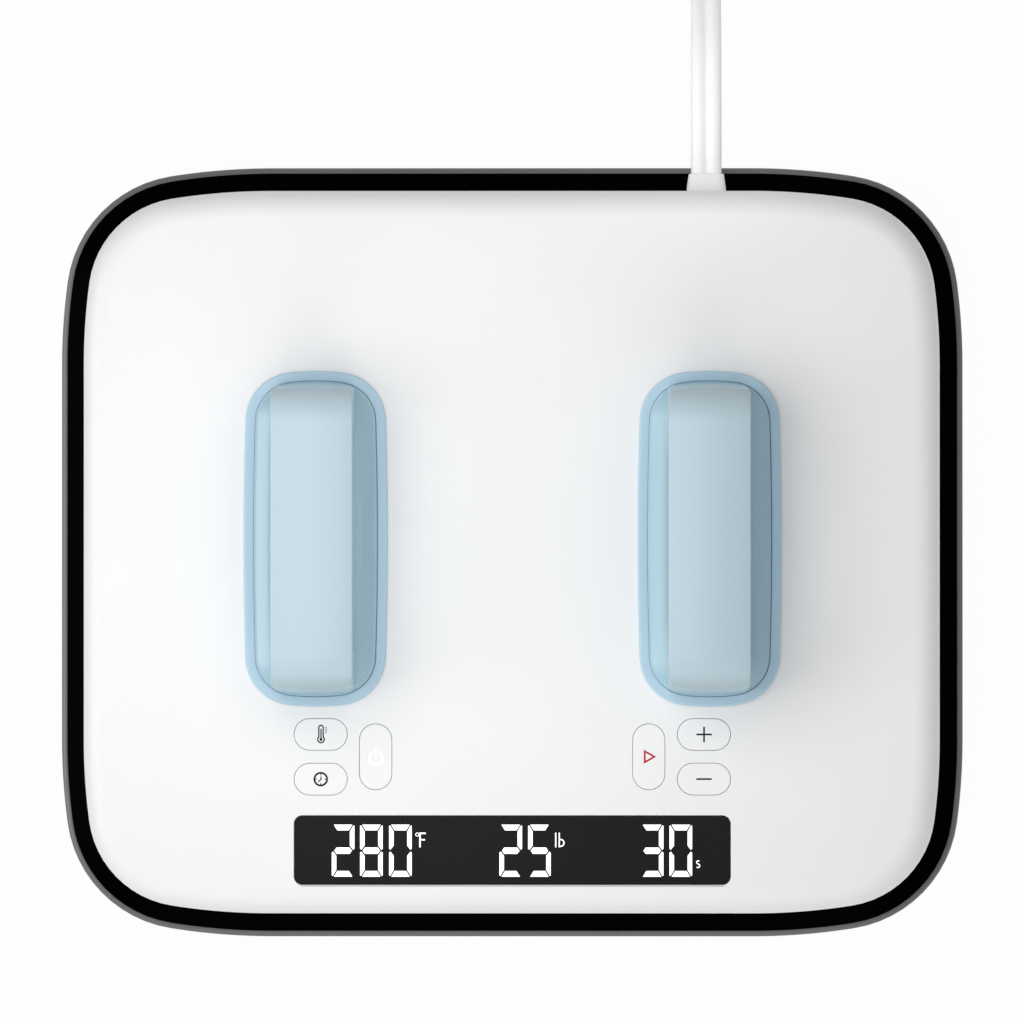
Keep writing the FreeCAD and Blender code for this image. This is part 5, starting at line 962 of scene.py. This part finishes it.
# The screws' sunk holes: their diameter and the height at which they end
SCREW_HOLE, SCREW_SEAT = 8.3, 12.0
BUTTON_GAP = 0.18
# Each button: name, middle, length on X and width on Y
BUTTONS = (
    ("temperature", -72.87, -69.64, 20.5, 12.3),
    ("timer", -72.87, -86.77, 20.5, 12.4),
    ("power", -51.87, -78.22, 12.6, 25.4),
    ("start", 52.5, -78.2, 12.5, 25.4),
    ("plus", 73.56, -69.68, 20.5, 12.3),
    ("minus", 73.56, -86.72, 20.5, 12.4),
)
# The window: middle, length, width and corner, then the ledge's width at its ends and sides
WINDOW = (0.3, -113.88, 167.0, 26.65, 3.3)
WINDOW_LEDGE = (5.0, 4.5)


def button_outline(x, y, length, width, grow=0.0):
    """A rectangle whose corners take up nearly all of its short sides, grown by a little all round."""
    length, width = length + 2 * grow, width + 2 * grow
    return rounded_rectangle(x, y, length, width, min(length, width) / 2 - 0.05, 17)


class HEATPRESS_OT_casing(bpy.types.Operator):
    """Makes the white shell, the black ring, the grey skirt and the heated plate"""

    bl_idname = "heat_press.make_casing"
    bl_label = "Casing and plate"

    def execute(self, context):
        settings = context.scene.heat_press_casing
        self.make_shell(settings)
        self.make_ring(settings)
        self.make_skirt(settings)
        self.make_plate(settings)
        return {"FINISHED"}

    def make_shell(self, settings):
        """An upright wall that rounds over into a flat top, hollow, with ways for the buttons and window."""
        top, edge, wall = settings.top / MM, settings.edge_round / MM, settings.wall / MM
        ceiling = top - wall
        rim = float(SHELL_LOW[2])
        flat = SHELL_INSET + edge + FLAT_START
        outer = quarter(SHELL_INSET, top - edge, edge, edge, 25)
        inner = quarter(SHELL_INSET + wall, top - edge, edge - wall, edge - wall, 13)
        profile = [(flat, ceiling), *inner[::-1], (SHELL_INSET + wall, rim), (SHELL_INSET + 0.3, rim)]
        profile += [(SHELL_INSET, rim + 0.3), *outer, (flat, top)]
        outline = eased_rectangle(*HOUSING)
        piece = Piece()
        piece.add_grid(profile_grid(outline, profile))
        above, below = [outline.line(flat)], [outline.line(flat)]
        for _, x, y, length, width in BUTTONS:
            high, low = piece.add_hole_wall(button_outline(x, y, length, width), top, ceiling)
            above.append(high)
            below.append(low)
        x, y, length, width, corner = WINDOW
        recess = rounded_rectangle(x, y, length, width, corner)
        ledge = PANE_LOW[2]
        way = rounded_rectangle(x, y, length - 2 * WINDOW_LEDGE[0], width - 2 * WINDOW_LEDGE[1], 1.5)
        above.append(piece.add_hole_wall(recess, top, ledge, edge=0.1)[0])
        piece.add_cap([recess.line(), way.line()], ledge)
        piece.add_grid(profile_grid(way, [(0.0, ledge), (0.0, ceiling)]))
        below.append(way.line())
        piece.add_cap(above, top)
        piece.add_cap(below, ceiling)
        satin = {"roughness": 0.38, "depth": 0.000006, "clouds": 0.012, "specular": 0.13}
        white = plastic("white_satin_shell", settings.shell_colour, **satin)
        make_object("white_shell", piece, [white], ["top_shell"])

    def make_ring(self, settings):
        """A lip, a slope up to the shell with soft edges, the part under the shell and a tongue below."""
        piece = Piece()
        piece.add_sweep(eased_rectangle(*HOUSING), RING_SLOPE + RING_UNDERSIDE, closed=True)
        gloss = {"roughness": 0.16, "grain": 700.0, "depth": 0.000002, "specular": 0.002}
        black = plastic("black_gloss_ring", settings.ring_colour, **gloss)
        make_object("black_ring", piece, [black], ["bezel_ring"])

    def make_skirt(self, settings):
        """A wall with rounded edges and a floor that stops short of the hot plate, with sunk screw holes."""
        low = float(HOUSING_LOW[2])
        floor = low + SKIRT_FLOOR
        under, over = SKIRT_LOWER_EDGE, SKIRT_UPPER_EDGE
        outline = eased_rectangle(*HOUSING)
        profile = [(under + 0.5, low), *lower_quarter(low, under)]
        profile += [*quarter(0.0, SKIRT_TOP - over, over, over), (SKIRT_WALL, SKIRT_TOP), (SKIRT_WALL, floor)]
        piece = Piece()
        piece.add_grid(profile_grid(outline, profile))
        way = rounded_rectangle(0, 0, *PLATE_WAY, 25)
        way_wall = [(-0.8, low), (-0.4, low), (-0.1, low + 0.12), (0.0, low + 0.4), (0.0, floor)]
        piece.add_grid(profile_grid(way, way_wall))
        holes = [way.line(-0.8)]
        hole_wall = [(-0.6, low), (-0.3, low), (0.0, low + 0.3), (0.0, SCREW_SEAT)]
        for x, y in SCREW_PLACES:
            hole = circle(x, y, SCREW_HOLE)
            piece.add_grid(profile_grid(hole, hole_wall))
            piece.add_cap([hole.line()], SCREW_SEAT)
            holes.append(hole.line(-0.6))
        piece.add_cap([outline.line(under + 0.5), *holes], low)
        piece.add_cap([outline.line(SKIRT_WALL), way.line()], floor)
        matt = {"roughness": 0.45, "grain": 1800.0, "depth": 0.00002, "clouds": 0.05}
        grey = plastic("grey_heatproof_skirt", settings.skirt_colour, **matt)
        make_object("grey_skirt", piece, [grey], ["lower_housing"])

    def make_plate(self, settings):
        """A thick plate whose lower edge is rounded, in a coating with small bright flecks."""
        low = float(PLATE_LOW[2])
        top = low + PLATE_THICKNESS
        length, width = PLATE_HIGH[0] - PLATE_LOW[0], PLATE_HIGH[1] - PLATE_LOW[1]
        outline = rounded_rectangle(0, 0, length, width, PLATE_CORNER, 25)
        profile = [(PLATE_EDGE + 1.0, low), *lower_quarter(low, PLATE_EDGE)]
        profile += [(0.0, top - 0.5), (0.5, top), (2.0, top)]
        piece = Piece()
        piece.add_sweep(outline, profile)
        coating = {"roughness": 0.42, "grain": 5200.0, "depth": 0.00003, "clouds": 0.12, "specular": 0.5}
        coated = plastic("coated_plate", settings.plate_colour, **coating)
        tree = coated.node_tree
        flecks = spread(tree, noise(tree, object_place(tree), 2600.0, detail=1.0), 0.66, 0.72, 0.0, 0.75)
        fill_sockets(tree, tree.nodes["Principled BSDF"], {"Metallic": flecks})
        make_object("coated_plate", piece, [coated], ["heat_plate"])


# Handles

# The flange's outline: half its width and length, its corners' radius and how far its sides bow
FLANGE = (27.5, 64.1, 18.8, 0.7, 0.48)
HANDLE_X = 75.25
HANDLE_Y = 5.2
# The flange and the foot stand this much beside the arch's middle
BASE_SHIFT = (0.48, -0.15)
# The flange's rim, the gap between it and the foot, and how far the foot stands to the left in it
RIM = 3.7
SEAM = 0.17
SEAM_SHIFT = 0.12
RIM_OUTER_EDGE, RIM_INNER_EDGE = 0.75, 0.18
# The well inside the rim: its floor over the shell, and how far in the floor reaches
WELL_FLOOR, WELL_REACH = 1.1, 6.0
FOOT_LOW = 67.4
# The foot's slope from its edge to the floor of the finger gap, as inset and height over FOOT_LOW
FOOT_SLOPE = (
    (0.3, 0.0), (0.0, 0.3), (0.0, 1.02), (0.04, 1.16), (0.14, 1.26), (0.3, 1.31), (0.6, 1.34),
    (0.85, 1.39), (1.15, 1.55), (1.9, 2.1), (2.9, 2.8), (4.1, 3.55), (5.2, 4.15), (6.2, 4.6),
    (7.1, 4.95), (7.9, 5.4), (8.4, 6.1), (8.7, 7.4), (11.4, 7.4),
)
# The arch's half length where it begins, inside the foot, and at its top, and its upper corners
ARCH_LOW, ARCH_LOW_HALF, ARCH_TOP_HALF, ARCH_CORNER = 60.0, 60.1, 56.5, 13.0
# The finger gap: its floor, its top, half its length and its upper corners
GAP_FLOOR, GAP_TOP, GAP_HALF, GAP_CORNER = 72.0, 98.5, 42.0, 11.8
# How wide the rounds along the arch's sides are at the least, outside and round the finger gap
SIDE_ROUND, GAP_ROUND = 0.5, 2.4
# The height at which the grip cover meets the handle's body, and how deep the groove between them is
SPLIT, SPLIT_GROOVE = 109.0, 0.3
# How much lower the arch's sides are than its middle, at its ends and on top
END_CROWN, TOP_CROWN = 1.2, 2.1


def foot_grid(middle):
    """The handle's foot: an oval whose side slopes up from the seam to the finger gap's floor.

    Row k stands at inset d and height h(d). The rows over the floor are a small round beside the legs:
    floor + (h - floor) * w, where w goes from 0 to 1 as the place along the handle nears a leg.
    """
    outline = bowed_oval(*FLANGE, middle=middle)
    rows = []
    for inset, rise in FOOT_SLOPE:
        height = FOOT_LOW + rise
        line = outline.line(RIM + SEAM + inset)
        beside = smooth_step(np.abs(line[:, 1] - middle[1]), GAP_HALF - 3.0, GAP_HALF + 5.0)
        held = min(height, GAP_FLOOR)
        rows.append(np.insert(line, 2, held + (height - held) * beside, axis=1))
    # The last row is under the grip, and level
    rows[-1][:, 2] = GAP_FLOOR
    return np.stack(rows)


def arch_grid(half):
    """The whole arch seen from its side, spread over the grip's width, with soft edges.

    Row k stands at u across the grip. Near the side, u = half - reach * (1 - sin t) and the outline is
    inset by sink * (1 - cos t). The crown insets it by crown * (u / half)^2 as well. Reach, sink and
    crown change along the outline: large at the ends' feet, small on the crest, round under the grip.
    """
    top = COVER_HIGH[2]
    corners = [(ARCH_LOW_HALF, ARCH_LOW), (ARCH_TOP_HALF, top)]
    corners += [(-ARCH_TOP_HALF, top), (-ARCH_LOW_HALF, ARCH_LOW)]
    corners += [(-GAP_HALF, ARCH_LOW), (-GAP_HALF, GAP_TOP), (GAP_HALF, GAP_TOP), (GAP_HALF, ARCH_LOW)]
    radii = [0.5, ARCH_CORNER, ARCH_CORNER, 0.5, 0.5, GAP_CORNER, GAP_CORNER, 0.5]
    outline = rounded_polygon(corners, radii, count=19, spacing=3.0)
    line = outline.line()
    height, out = line[:, 1], outline.directions
    # The points that aren't round the finger gap
    outer = (np.abs(line[:, 0]) > 50.0) | (height > 110.0)
    lower = smooth_step(height, 100.0, 70.0)
    steep = smooth_step(out[:, 1], 0.95, 0.25)
    under = GAP_ROUND + 1.8 * smooth_step(-out[:, 1], 0.0, 0.9)
    reach = np.where(outer, SIDE_ROUND + 0.8 * steep + 1.2 * lower * steep, under)
    sink = np.where(outer, SIDE_ROUND + 0.8 * steep + 0.3 * lower * steep, under)
    crown = np.where(outer, END_CROWN + (TOP_CROWN - END_CROWN) * smooth_step(out[:, 1], 0.6, 1.0), 0.0)
    # The two ends inside the foot, which are cut off later
    low = height < ARCH_LOW + 1.5
    reach[low] = sink[low] = 0.3
    crown[low] = 0.0
    turn = np.linspace(math.pi / 2, 0, 9)[:, None]
    edge_across = half - reach * (1 - np.sin(turn))
    edge_inset = sink * (1 - np.cos(turn))
    share = np.linspace(-1, 1, 11)[1:-1, None]
    across = np.concatenate((-edge_across, share * (half - reach), edge_across[::-1]))
    inset = np.concatenate((edge_inset, np.zeros((len(share), len(line))), edge_inset[::-1]))
    inset = inset + crown * (across / half) ** 2
    side = outline.centres[None] + (outline.radii - inset)[..., None] * out[None]
    return np.concatenate((across[..., None], side), axis=2)


def bisect(mesh, height, **dropped):
    """Adds edges to a bmesh at a height, drops what it is told to, and returns the points and edges there."""
    geometry = [*mesh.verts, *mesh.edges, *mesh.faces]
    level = (0, 0, height * MM)
    made = bmesh.ops.bisect_plane(
        mesh, geom=geometry, plane_co=level, plane_no=(0, 0, 1), dist=CUT_NEAR, **dropped
    )
    return made["geom_cut"]


def cut_level(mesh, height, keep_above, groove=0.0):
    """Cuts a bmesh at a height, drops one part and closes the cut. A groove pulls the cut's rim inwards."""
    if groove:
        bisect(mesh, height + (groove if keep_above else -groove))
    cut = bisect(mesh, height, clear_inner=keep_above, clear_outer=not keep_above)
    edges = [item for item in cut if isinstance(item, bmesh.types.BMEdge)]
    if groove:
        mesh.normal_update()
        for vertex in {vertex for edge in edges for vertex in edge.verts}:
            level = Vector((vertex.normal.x, vertex.normal.y, 0.0)).normalized()
            vertex.co -= level * groove * MM
    bmesh.ops.holes_fill(mesh, edges=edges, sides=0)


class HEATPRESS_OT_handles(bpy.types.Operator):
    """Makes both handles: the oval flange, the arch on its foot and the grip cover"""

    bl_idname = "heat_press.make_handles"
    bl_label = "Handles"

    def execute(self, context):
        settings = context.scene.heat_press_handles
        satin = {"roughness": 0.40, "depth": 0.000008, "clouds": 0.015}
        grip = plastic("pale_blue_grip", settings.grip_colour, **satin)
        # The body's colour carries painted shade: darker and bluer than the grip's plastic
        body = plastic("pale_blue_body_painted_shade", settings.body_colour_painted_shade, **satin, specular=0.5)
        # The flange's colour carries painted light: lighter than the grip's plastic
        trim = plastic("pale_blue_flange_painted_light", settings.flange_colour_painted_light, **satin)
        for side, x in zip(SIDES, (-HANDLE_X, HANDLE_X)):
            self.make_flange(side, x, trim)
            self.make_arch(side, x, settings.grip_width / MM / 2, grip, body)
        return {"FINISHED"}

    def make_flange(self, side, x, material):
        """An oval ring with a rounded outer edge, and a well inside its rim for the handle's foot."""
        low, high = float(SHELL_HIGH[2]), float(FLANGE_HIGH[2])
        floor = low + WELL_FLOOR
        outer, inner = RIM_OUTER_EDGE, RIM_INNER_EDGE
        inner_edge = quarter(RIM, high - inner, inner, inner, 5)[::-1]
        profile = [(0.25, low), (0.25, low + 0.2), (0.0, low + 0.4)]
        profile += [*quarter(0.0, high - outer, outer, outer), (outer + 0.4, high)]
        profile += [(2 * RIM - inset, height) for inset, height in inner_edge]
        profile += [(RIM, floor), (WELL_REACH, floor), (WELL_REACH, low)]
        piece = Piece()
        piece.add_sweep(bowed_oval(*FLANGE, middle=self.base_middle(x)), profile, closed=True)
        make_object(f"{side}_flange_trim", piece, [material], [f"{side}_handle_flange"])

    def base_middle(self, x):
        """The middle of the flange and the foot of the handle at x."""
        return x + BASE_SHIFT[0], HANDLE_Y + BASE_SHIFT[1]

    def make_arch(self, side, x, half, grip, body):
        """The arch in one piece, cut in two: the grip cover, and the body that stands on the foot."""
        grid = arch_grid(half) + np.array((x, HANDLE_Y, 0.0))
        arch = Piece()
        arch.add_grid(grid)
        for ring in (grid[0], grid[-1]):
            arch.add_cap([ring[:, 1:]], float(ring[0, 0]), axis=0)
        rows = foot_grid(self.base_middle(x - SEAM_SHIFT))
        foot = Piece()
        foot.add_grid(rows)
        for row in (rows[0], rows[-1]):
            foot.add_cap([row[:, :2]], float(row[0, 2]))
        whole, base = piece_mesh("arch", arch), piece_mesh("foot", foot)
        for name, node, material, above in (
            ("grip_cover", "grip_cover", grip, True),
            ("handle_arch", "handle_body", body, False),
        ):
            part = bmesh.new()
            part.from_mesh(whole)
            weld(part)
            cut_level(part, SPLIT, above, SPLIT_GROOVE)
            if not above:
                cut_level(part, FOOT_LOW + 0.4, True)
                part.from_mesh(base)
                weld(part)
            mesh = bpy.data.meshes.new(f"{side}_{name}")
            part.to_mesh(mesh)
            part.free()
            place_object(f"{side}_{name}_skin", mesh, [material], [f"{side}_{node}"])
        bpy.data.meshes.remove(whole)
        bpy.data.meshes.remove(base)


# Buttons and display

# A print starts this far below its face and ends this far above it
PRINT_SINK, PRINT_RISE = 0.02, 0.015
CAP_EDGE = 0.25
# The caps' flanges under the shell: where they start, their thickness and how far they stand out
CAP_FLANGE_LOW, CAP_FLANGE, CAP_FLANGE_REACH = 61.9, 1.2, 1.5
STEM = 3.6
# Half the length of the bars of the plus and minus marks
SIGN_REACH = 2.95


def arc_points(x, y, radius, start, finish, count=24):
    """Points at middle + radius * (cos a, sin a), with the angles in degrees."""
    turn = np.radians(np.linspace(start, finish, count))
    return np.stack((x + radius * np.cos(turn), y + radius * np.sin(turn)), axis=1)


def add_print(piece, level, strokes):
    """Prints strokes on a face, each (points, width) or (points, width, whether it closes)."""
    for points, width, *closed in strokes:
        piece.add_stroke(points, width, level - PRINT_SINK, level + PRINT_RISE, *closed, finish=1)


class HEATPRESS_OT_buttons(bpy.types.Operator):
    """Makes the six push buttons with their printed marks"""

    bl_idname = "heat_press.make_buttons"
    bl_label = "Buttons"

    def execute(self, context):
        settings = context.scene.heat_press_controls
        satin = {"roughness": 0.36, "depth": 0.000006, "clouds": 0.01, "specular": 0.13}
        printed = {"roughness": 0.5, "grain": 4000.0, "clouds": 0.1, "specular": 0.1}
        cap = plastic("white_button_cap", settings.button_colour, **satin)
        ink = plastic("black_ink", settings.ink_colour, **printed)
        red = plastic("red_ink", settings.start_colour, **printed)
        white = lit("lit_power_mark", (1.0, 1.0, 1.0), 0.25)
        for name, x, y, length, width in BUTTONS:
            low, high = cad_box(f"{name}_button")
            piece = self.make_cap(button_outline(x, y, length, width, -BUTTON_GAP), high[2])
            piece.add_sweep(circle(x, y, STEM, 25), [(0.0, low[2]), (0.0, CAP_FLANGE_LOW + CAP_FLANGE / 2)])
            add_print(piece, float(high[2]), getattr(self, f"{name}_mark")(x, y))
            mark = {"power": white, "start": red}.get(name, ink)
            make_object(f"{name}_button_cap", piece, [cap, mark], [f"{name}_button"], f"{name}_button")
        return {"FINISHED"}

    def make_cap(self, outline, face):
        """A cap with a soft edge over a flange under the shell."""
        shoulder = CAP_FLANGE_LOW + CAP_FLANGE
        profile = [(-CAP_FLANGE_REACH, CAP_FLANGE_LOW), (-CAP_FLANGE_REACH, shoulder), (0.0, shoulder)]
        profile += [*quarter(0.0, face - CAP_EDGE, CAP_EDGE, CAP_EDGE, 7), (1.0, face)]
        piece = Piece()
        piece.add_sweep(outline, profile)
        return piece

    def temperature_mark(self, x, y):
        """A thermometer: a tube with a round top on a bulb, its filling, and four ticks."""
        x, y = x + 0.1, y + 0.1
        tube, bulb = 0.84, 1.24
        lift = math.degrees(math.acos(tube / bulb))
        lower = arc_points(x, y - 2.05, bulb, 90 + (90 - lift), 360 + lift, 30)
        upper = arc_points(x, y + 2.5, tube, 0, 180, 16)
        marks = [
            (np.concatenate((lower, upper)), 0.52, True),
            ([(x, y + 2.0), (x, y - 2.0)], 0.5),
            (arc_points(x, y - 2.05, 0.3, 0, 330, 12), 0.58, True),
        ]
        for step in range(4):
            height = y + 0.6 + step * 0.62
            marks.append(([(x + 1.62, height), (x + 2.25, height)], 0.26))
        return marks

    def timer_mark(self, x, y):
        """A clock face: a ring, four ticks and two hands."""
        marks = [(arc_points(x, y, 2.42, 0, 352.5, 48), 0.72, True)]
        for turn in range(4):
            across, up = math.cos(turn * math.pi / 2), math.sin(turn * math.pi / 2)
            marks.append(([(x + reach * across, y + reach * up) for reach in (2.1, 1.5)], 0.40))
        marks.append(([(x + 0.1, y + 1.05), (x + 0.1, y - 0.05), (x - 0.95, y - 1.05)], 0.46))
        return marks

    def power_mark(self, x, y):
        """A ring open at the top with an upright bar in the opening."""
        return [(arc_points(x, y - 0.4, 2.55, 122, 418, 40), 0.62), ([(x, y + 3.1), (x, y - 0.4)], 0.62)]

    def start_mark(self, x, y):
        """A plain triangle that points right."""
        return [([(x - 1.6, y - 2.1), (x + 2.1, y), (x - 1.6, y + 2.1)], 0.70, True)]

    def minus_mark(self, x, y):
        return [([(x - SIGN_REACH, y), (x + SIGN_REACH, y)], 0.66)]

    def plus_mark(self, x, y):
        """The minus with an upright bar in two halves, which touch its edges."""
        lower = ([(x, y - SIGN_REACH), (x, y - 0.33)], 0.66)
        upper = ([(x, y + 0.33), (x, y + SIGN_REACH)], 0.66)
        return [*self.minus_mark(x, y), lower, upper]


DIGIT_SIZE = (8.65, 19.9)
DIGIT_BOTTOM = -124.02
# The lit digits: the place of the left edge and the digit
DIGITS = ((-68.65, 2), (-57.85, 8), (-46.75, 0), (-4.6, 2), (6.35, 5), (49.4, 3), (60.35, 0))
SEGMENTS_LIT = {0: "abcdef", 2: "abged", 3: "abgcd", 5: "afgcd", 8: "abcdefg"}
PANE_GAP, PANE_EDGE = 0.2, 0.2


def segment_shapes(width, height):
    """The seven bars of a digit, as corners counter-clockwise from the digit's lower left corner."""
    side, level, gap = 1.74, 2.22, 0.38
    middle = height / 2
    upper = [
        (width, middle + 0.75),
        (width - 0.5, middle + 0.32),
        (width - side, middle + 1.95),
        (width - side, height - level - gap),
        (width - 0.35, height - 0.25),
        (width, height - 0.5),
    ]
    top = [
        (0.35 + gap, height),
        (side + gap, height - level),
        (width - side - gap, height - level),
        (width - 0.35 - gap, height),
    ]
    bar = [(0.95, middle), (1.85, middle - 1.22), (width - 1.85, middle - 1.22), (width - 0.95, middle)]
    bar += [(width - 1.85, middle + 1.22), (1.85, middle + 1.22)]

    def mirrored(shape, across, up):
        flipped = [(width - x if across else x, height - y if up else y) for x, y in shape]
        return flipped if across == up else flipped[::-1]

    return {
        "a": top,
        "b": upper,
        "c": mirrored(upper, False, True),
        "d": mirrored(top, False, True),
        "e": mirrored(upper, True, True),
        "f": mirrored(upper, True, False),
        "g": bar,
    }


class HEATPRESS_OT_display(bpy.types.Operator):
    """Makes the dark display window and its lit digits and units"""

    bl_idname = "heat_press.make_display"
    bl_label = "Display"

    def execute(self, context):
        settings = context.scene.heat_press_controls
        low, face = float(PANE_LOW[2]), float(PANE_HIGH[2])
        x, y, length, width, corner = WINDOW
        outline = rounded_rectangle(x, y, length - 2 * PANE_GAP, width - 2 * PANE_GAP, corner - PANE_GAP)
        edge = quarter(0.0, face - PANE_EDGE, PANE_EDGE, PANE_EDGE, 5)
        piece = Piece()
        piece.add_sweep(outline, [(0.0, low), *edge, (PANE_EDGE + 0.4, face)])
        self.add_digits(piece, face)
        add_print(piece, face, self.units())
        gloss = {"roughness": 0.22, "grain": 500.0, "depth": 0.000001, "specular": 0.02}
        dark = plastic("dark_window_pane", settings.pane_colour, **gloss)
        glow = lit("lit_digits", settings.digit_colour, 0.6)
        make_object("display_pane", piece, [dark, glow], ["display_window"])
        return {"FINISHED"}

    def add_digits(self, piece, face):
        """The lit bars of each digit, with slightly round corners."""
        shapes = segment_shapes(*DIGIT_SIZE)
        levels = [(0.0, face - PRINT_SINK), (0.0, face + PRINT_RISE)]
        for place, digit in DIGITS:
            for letter in SEGMENTS_LIT[digit]:
                bar = rounded_polygon(np.array(shapes[letter]) + (place, DIGIT_BOTTOM), 0.12, 4)
                piece.add_sweep(bar, levels, finish=1)

    def units(self):
        """The strokes of the units beside the numbers: a degree ring and F, lb, and s."""
        bowl = arc_points(18.75, -111.1, 1.30, -90, 90, 14)
        bend = (arc_points(71.3, -118.5, 0.58, 40, 230, 12), arc_points(71.25, -119.85, 0.66, 60, -140, 12))
        return [
            (arc_points(-36.0, -107.9, 0.62, 0, 345, 24), 0.25, True),
            ([(-34.95, -112.8), (-34.95, -107.45), (-32.75, -107.45)], 0.58),
            ([(-34.65, -109.9), (-33.05, -109.9)], 0.52),
            ([(16.9, -112.75), (16.9, -107.2)], 0.48),
            ([(18.25, -112.75), (18.25, -107.2)], 0.48),
            (np.concatenate(([(18.3, -112.4)], bowl, [(18.3, -109.8)])), 0.46),
            (np.concatenate(bend), 0.40),
        ]


# Pieces inside

INNER_FINISHES = {
    "bright_steel": ("zinc_plated_steel", (0.55, 0.56, 0.57), 0.34, (0.40, 0.36, 0.30), 0.10),
    "element_sheath": ("heat_blued_steel", (0.30, 0.27, 0.25), 0.42, (0.16, 0.12, 0.16), 0.55),
    "aluminium_part": ("bare_aluminium", (0.72, 0.73, 0.74), 0.38, (0.50, 0.50, 0.48), 0.12),
    "pin_metal": ("nickel_washed_brass", (0.72, 0.68, 0.58), 0.24, (0.55, 0.45, 0.28), 0.20),
}
INNER_PLASTICS = {
    "switch_plastic": ("black_switch_plastic", (0.020, 0.020, 0.021), 0.45),
    "component_case": ("dark_moulded_case", (0.030, 0.030, 0.033), 0.50),
    "blue_case": ("blue_relay_case", (0.02, 0.07, 0.30), 0.35),
    "lead_sleeve": ("sleeved_leads", (0.50, 0.46, 0.38), 0.60),
    "insulation": ("needled_fibre", (0.72, 0.68, 0.58), 0.90),
    "white_shell": ("white_inner_plastic", (0.80, 0.80, 0.80), 0.45),
}


def board_material():
    """A printed board: green mask over darker tracks, worked out from stretched cells."""
    material, tree, shader = new_material("printed_board", (0.02, 0.12, 0.05))
    pattern = {"Vector": object_place(tree), "Scale": 190.0}
    cells = add_node(tree, "ShaderNodeTexVoronoi", pattern, distance="MANHATTAN", feature="F1")
    tracks = spread(tree, cells.outputs["Distance"], 0.42, 0.46, 0.0, 1.0)
    values = {
        "Base Color": mix_colours(tree, tracks, (0.012, 0.085, 0.035, 1.0), (0.030, 0.160, 0.065, 1.0)),
        "Normal": bump(tree, tracks, 0.00003, 0.5),
        "Roughness": 0.35,
    }
    fill_sockets(tree, shader, values)
    return material


class HEATPRESS_OT_inner_finishes(bpy.types.Operator):
    """Gives every CAD piece that is still shown its finish"""

    bl_idname = "heat_press.finish_inner_pieces"
    bl_label = "Inner pieces"

    def execute(self, context):
        board = board_material()
        for node, slot in SLOTS.items():
            if slot in INNER_FINISHES:
                material = metal(*INNER_FINISHES[slot])
            elif slot == "circuit_board":
                material = board
            elif slot in INNER_PLASTICS:
                name, colour, roughness = INNER_PLASTICS[slot]
                material = plastic(name, colour, roughness, grain=1500.0, depth=0.00003, clouds=0.10)
            else:
                continue
            for place in frame["nodes"][node].material_slots:
                place.material = material
        return {"FINISHED"}


# The add-on

STEPS = (
    HEATPRESS_OT_stage,
    HEATPRESS_OT_cord,
    HEATPRESS_OT_casing,
    HEATPRESS_OT_handles,
    HEATPRESS_OT_buttons,
    HEATPRESS_OT_display,
    HEATPRESS_OT_inner_finishes,
)
SETTINGS = {
    "heat_press_casing": CasingSettings,
    "heat_press_handles": HandleSettings,
    "heat_press_controls": ControlSettings,
    "heat_press_cord": CordSettings,
    "heat_press_stage": StageSettings,
}


class HEATPRESS_PT_panel(bpy.types.Panel):
    """Lists the sizes and colours, and a button for each step"""

    bl_label = "Heat Press"
    bl_idname = "HEATPRESS_PT_panel"
    bl_space_type = "VIEW_3D"
    bl_region_type = "UI"
    bl_category = "Heat Press"

    def draw(self, context):
        for label, group in SETTINGS.items():
            box = self.layout.box()
            for name in group.__annotations__:
                box.prop(getattr(context.scene, label), name)
        for step in STEPS:
            self.layout.operator(step.bl_idname)


def register():
    for group in SETTINGS.values():
        bpy.utils.register_class(group)
    for label, group in SETTINGS.items():
        setattr(bpy.types.Scene, label, PointerProperty(type=group))
    for step in STEPS:
        bpy.utils.register_class(step)
    bpy.utils.register_class(HEATPRESS_PT_panel)


def unregister():
    bpy.utils.unregister_class(HEATPRESS_PT_panel)
    for step in reversed(STEPS):
        bpy.utils.unregister_class(step)
    for label in SETTINGS:
        delattr(bpy.types.Scene, label)
    for group in reversed(SETTINGS.values()):
        bpy.utils.unregister_class(group)


def main():
    """Makes every piece in order."""
    register()
    for step in STEPS:
        family, name = step.bl_idname.split(".")
        getattr(getattr(bpy.ops, family), name)()


if __name__ == "__main__":
    main()
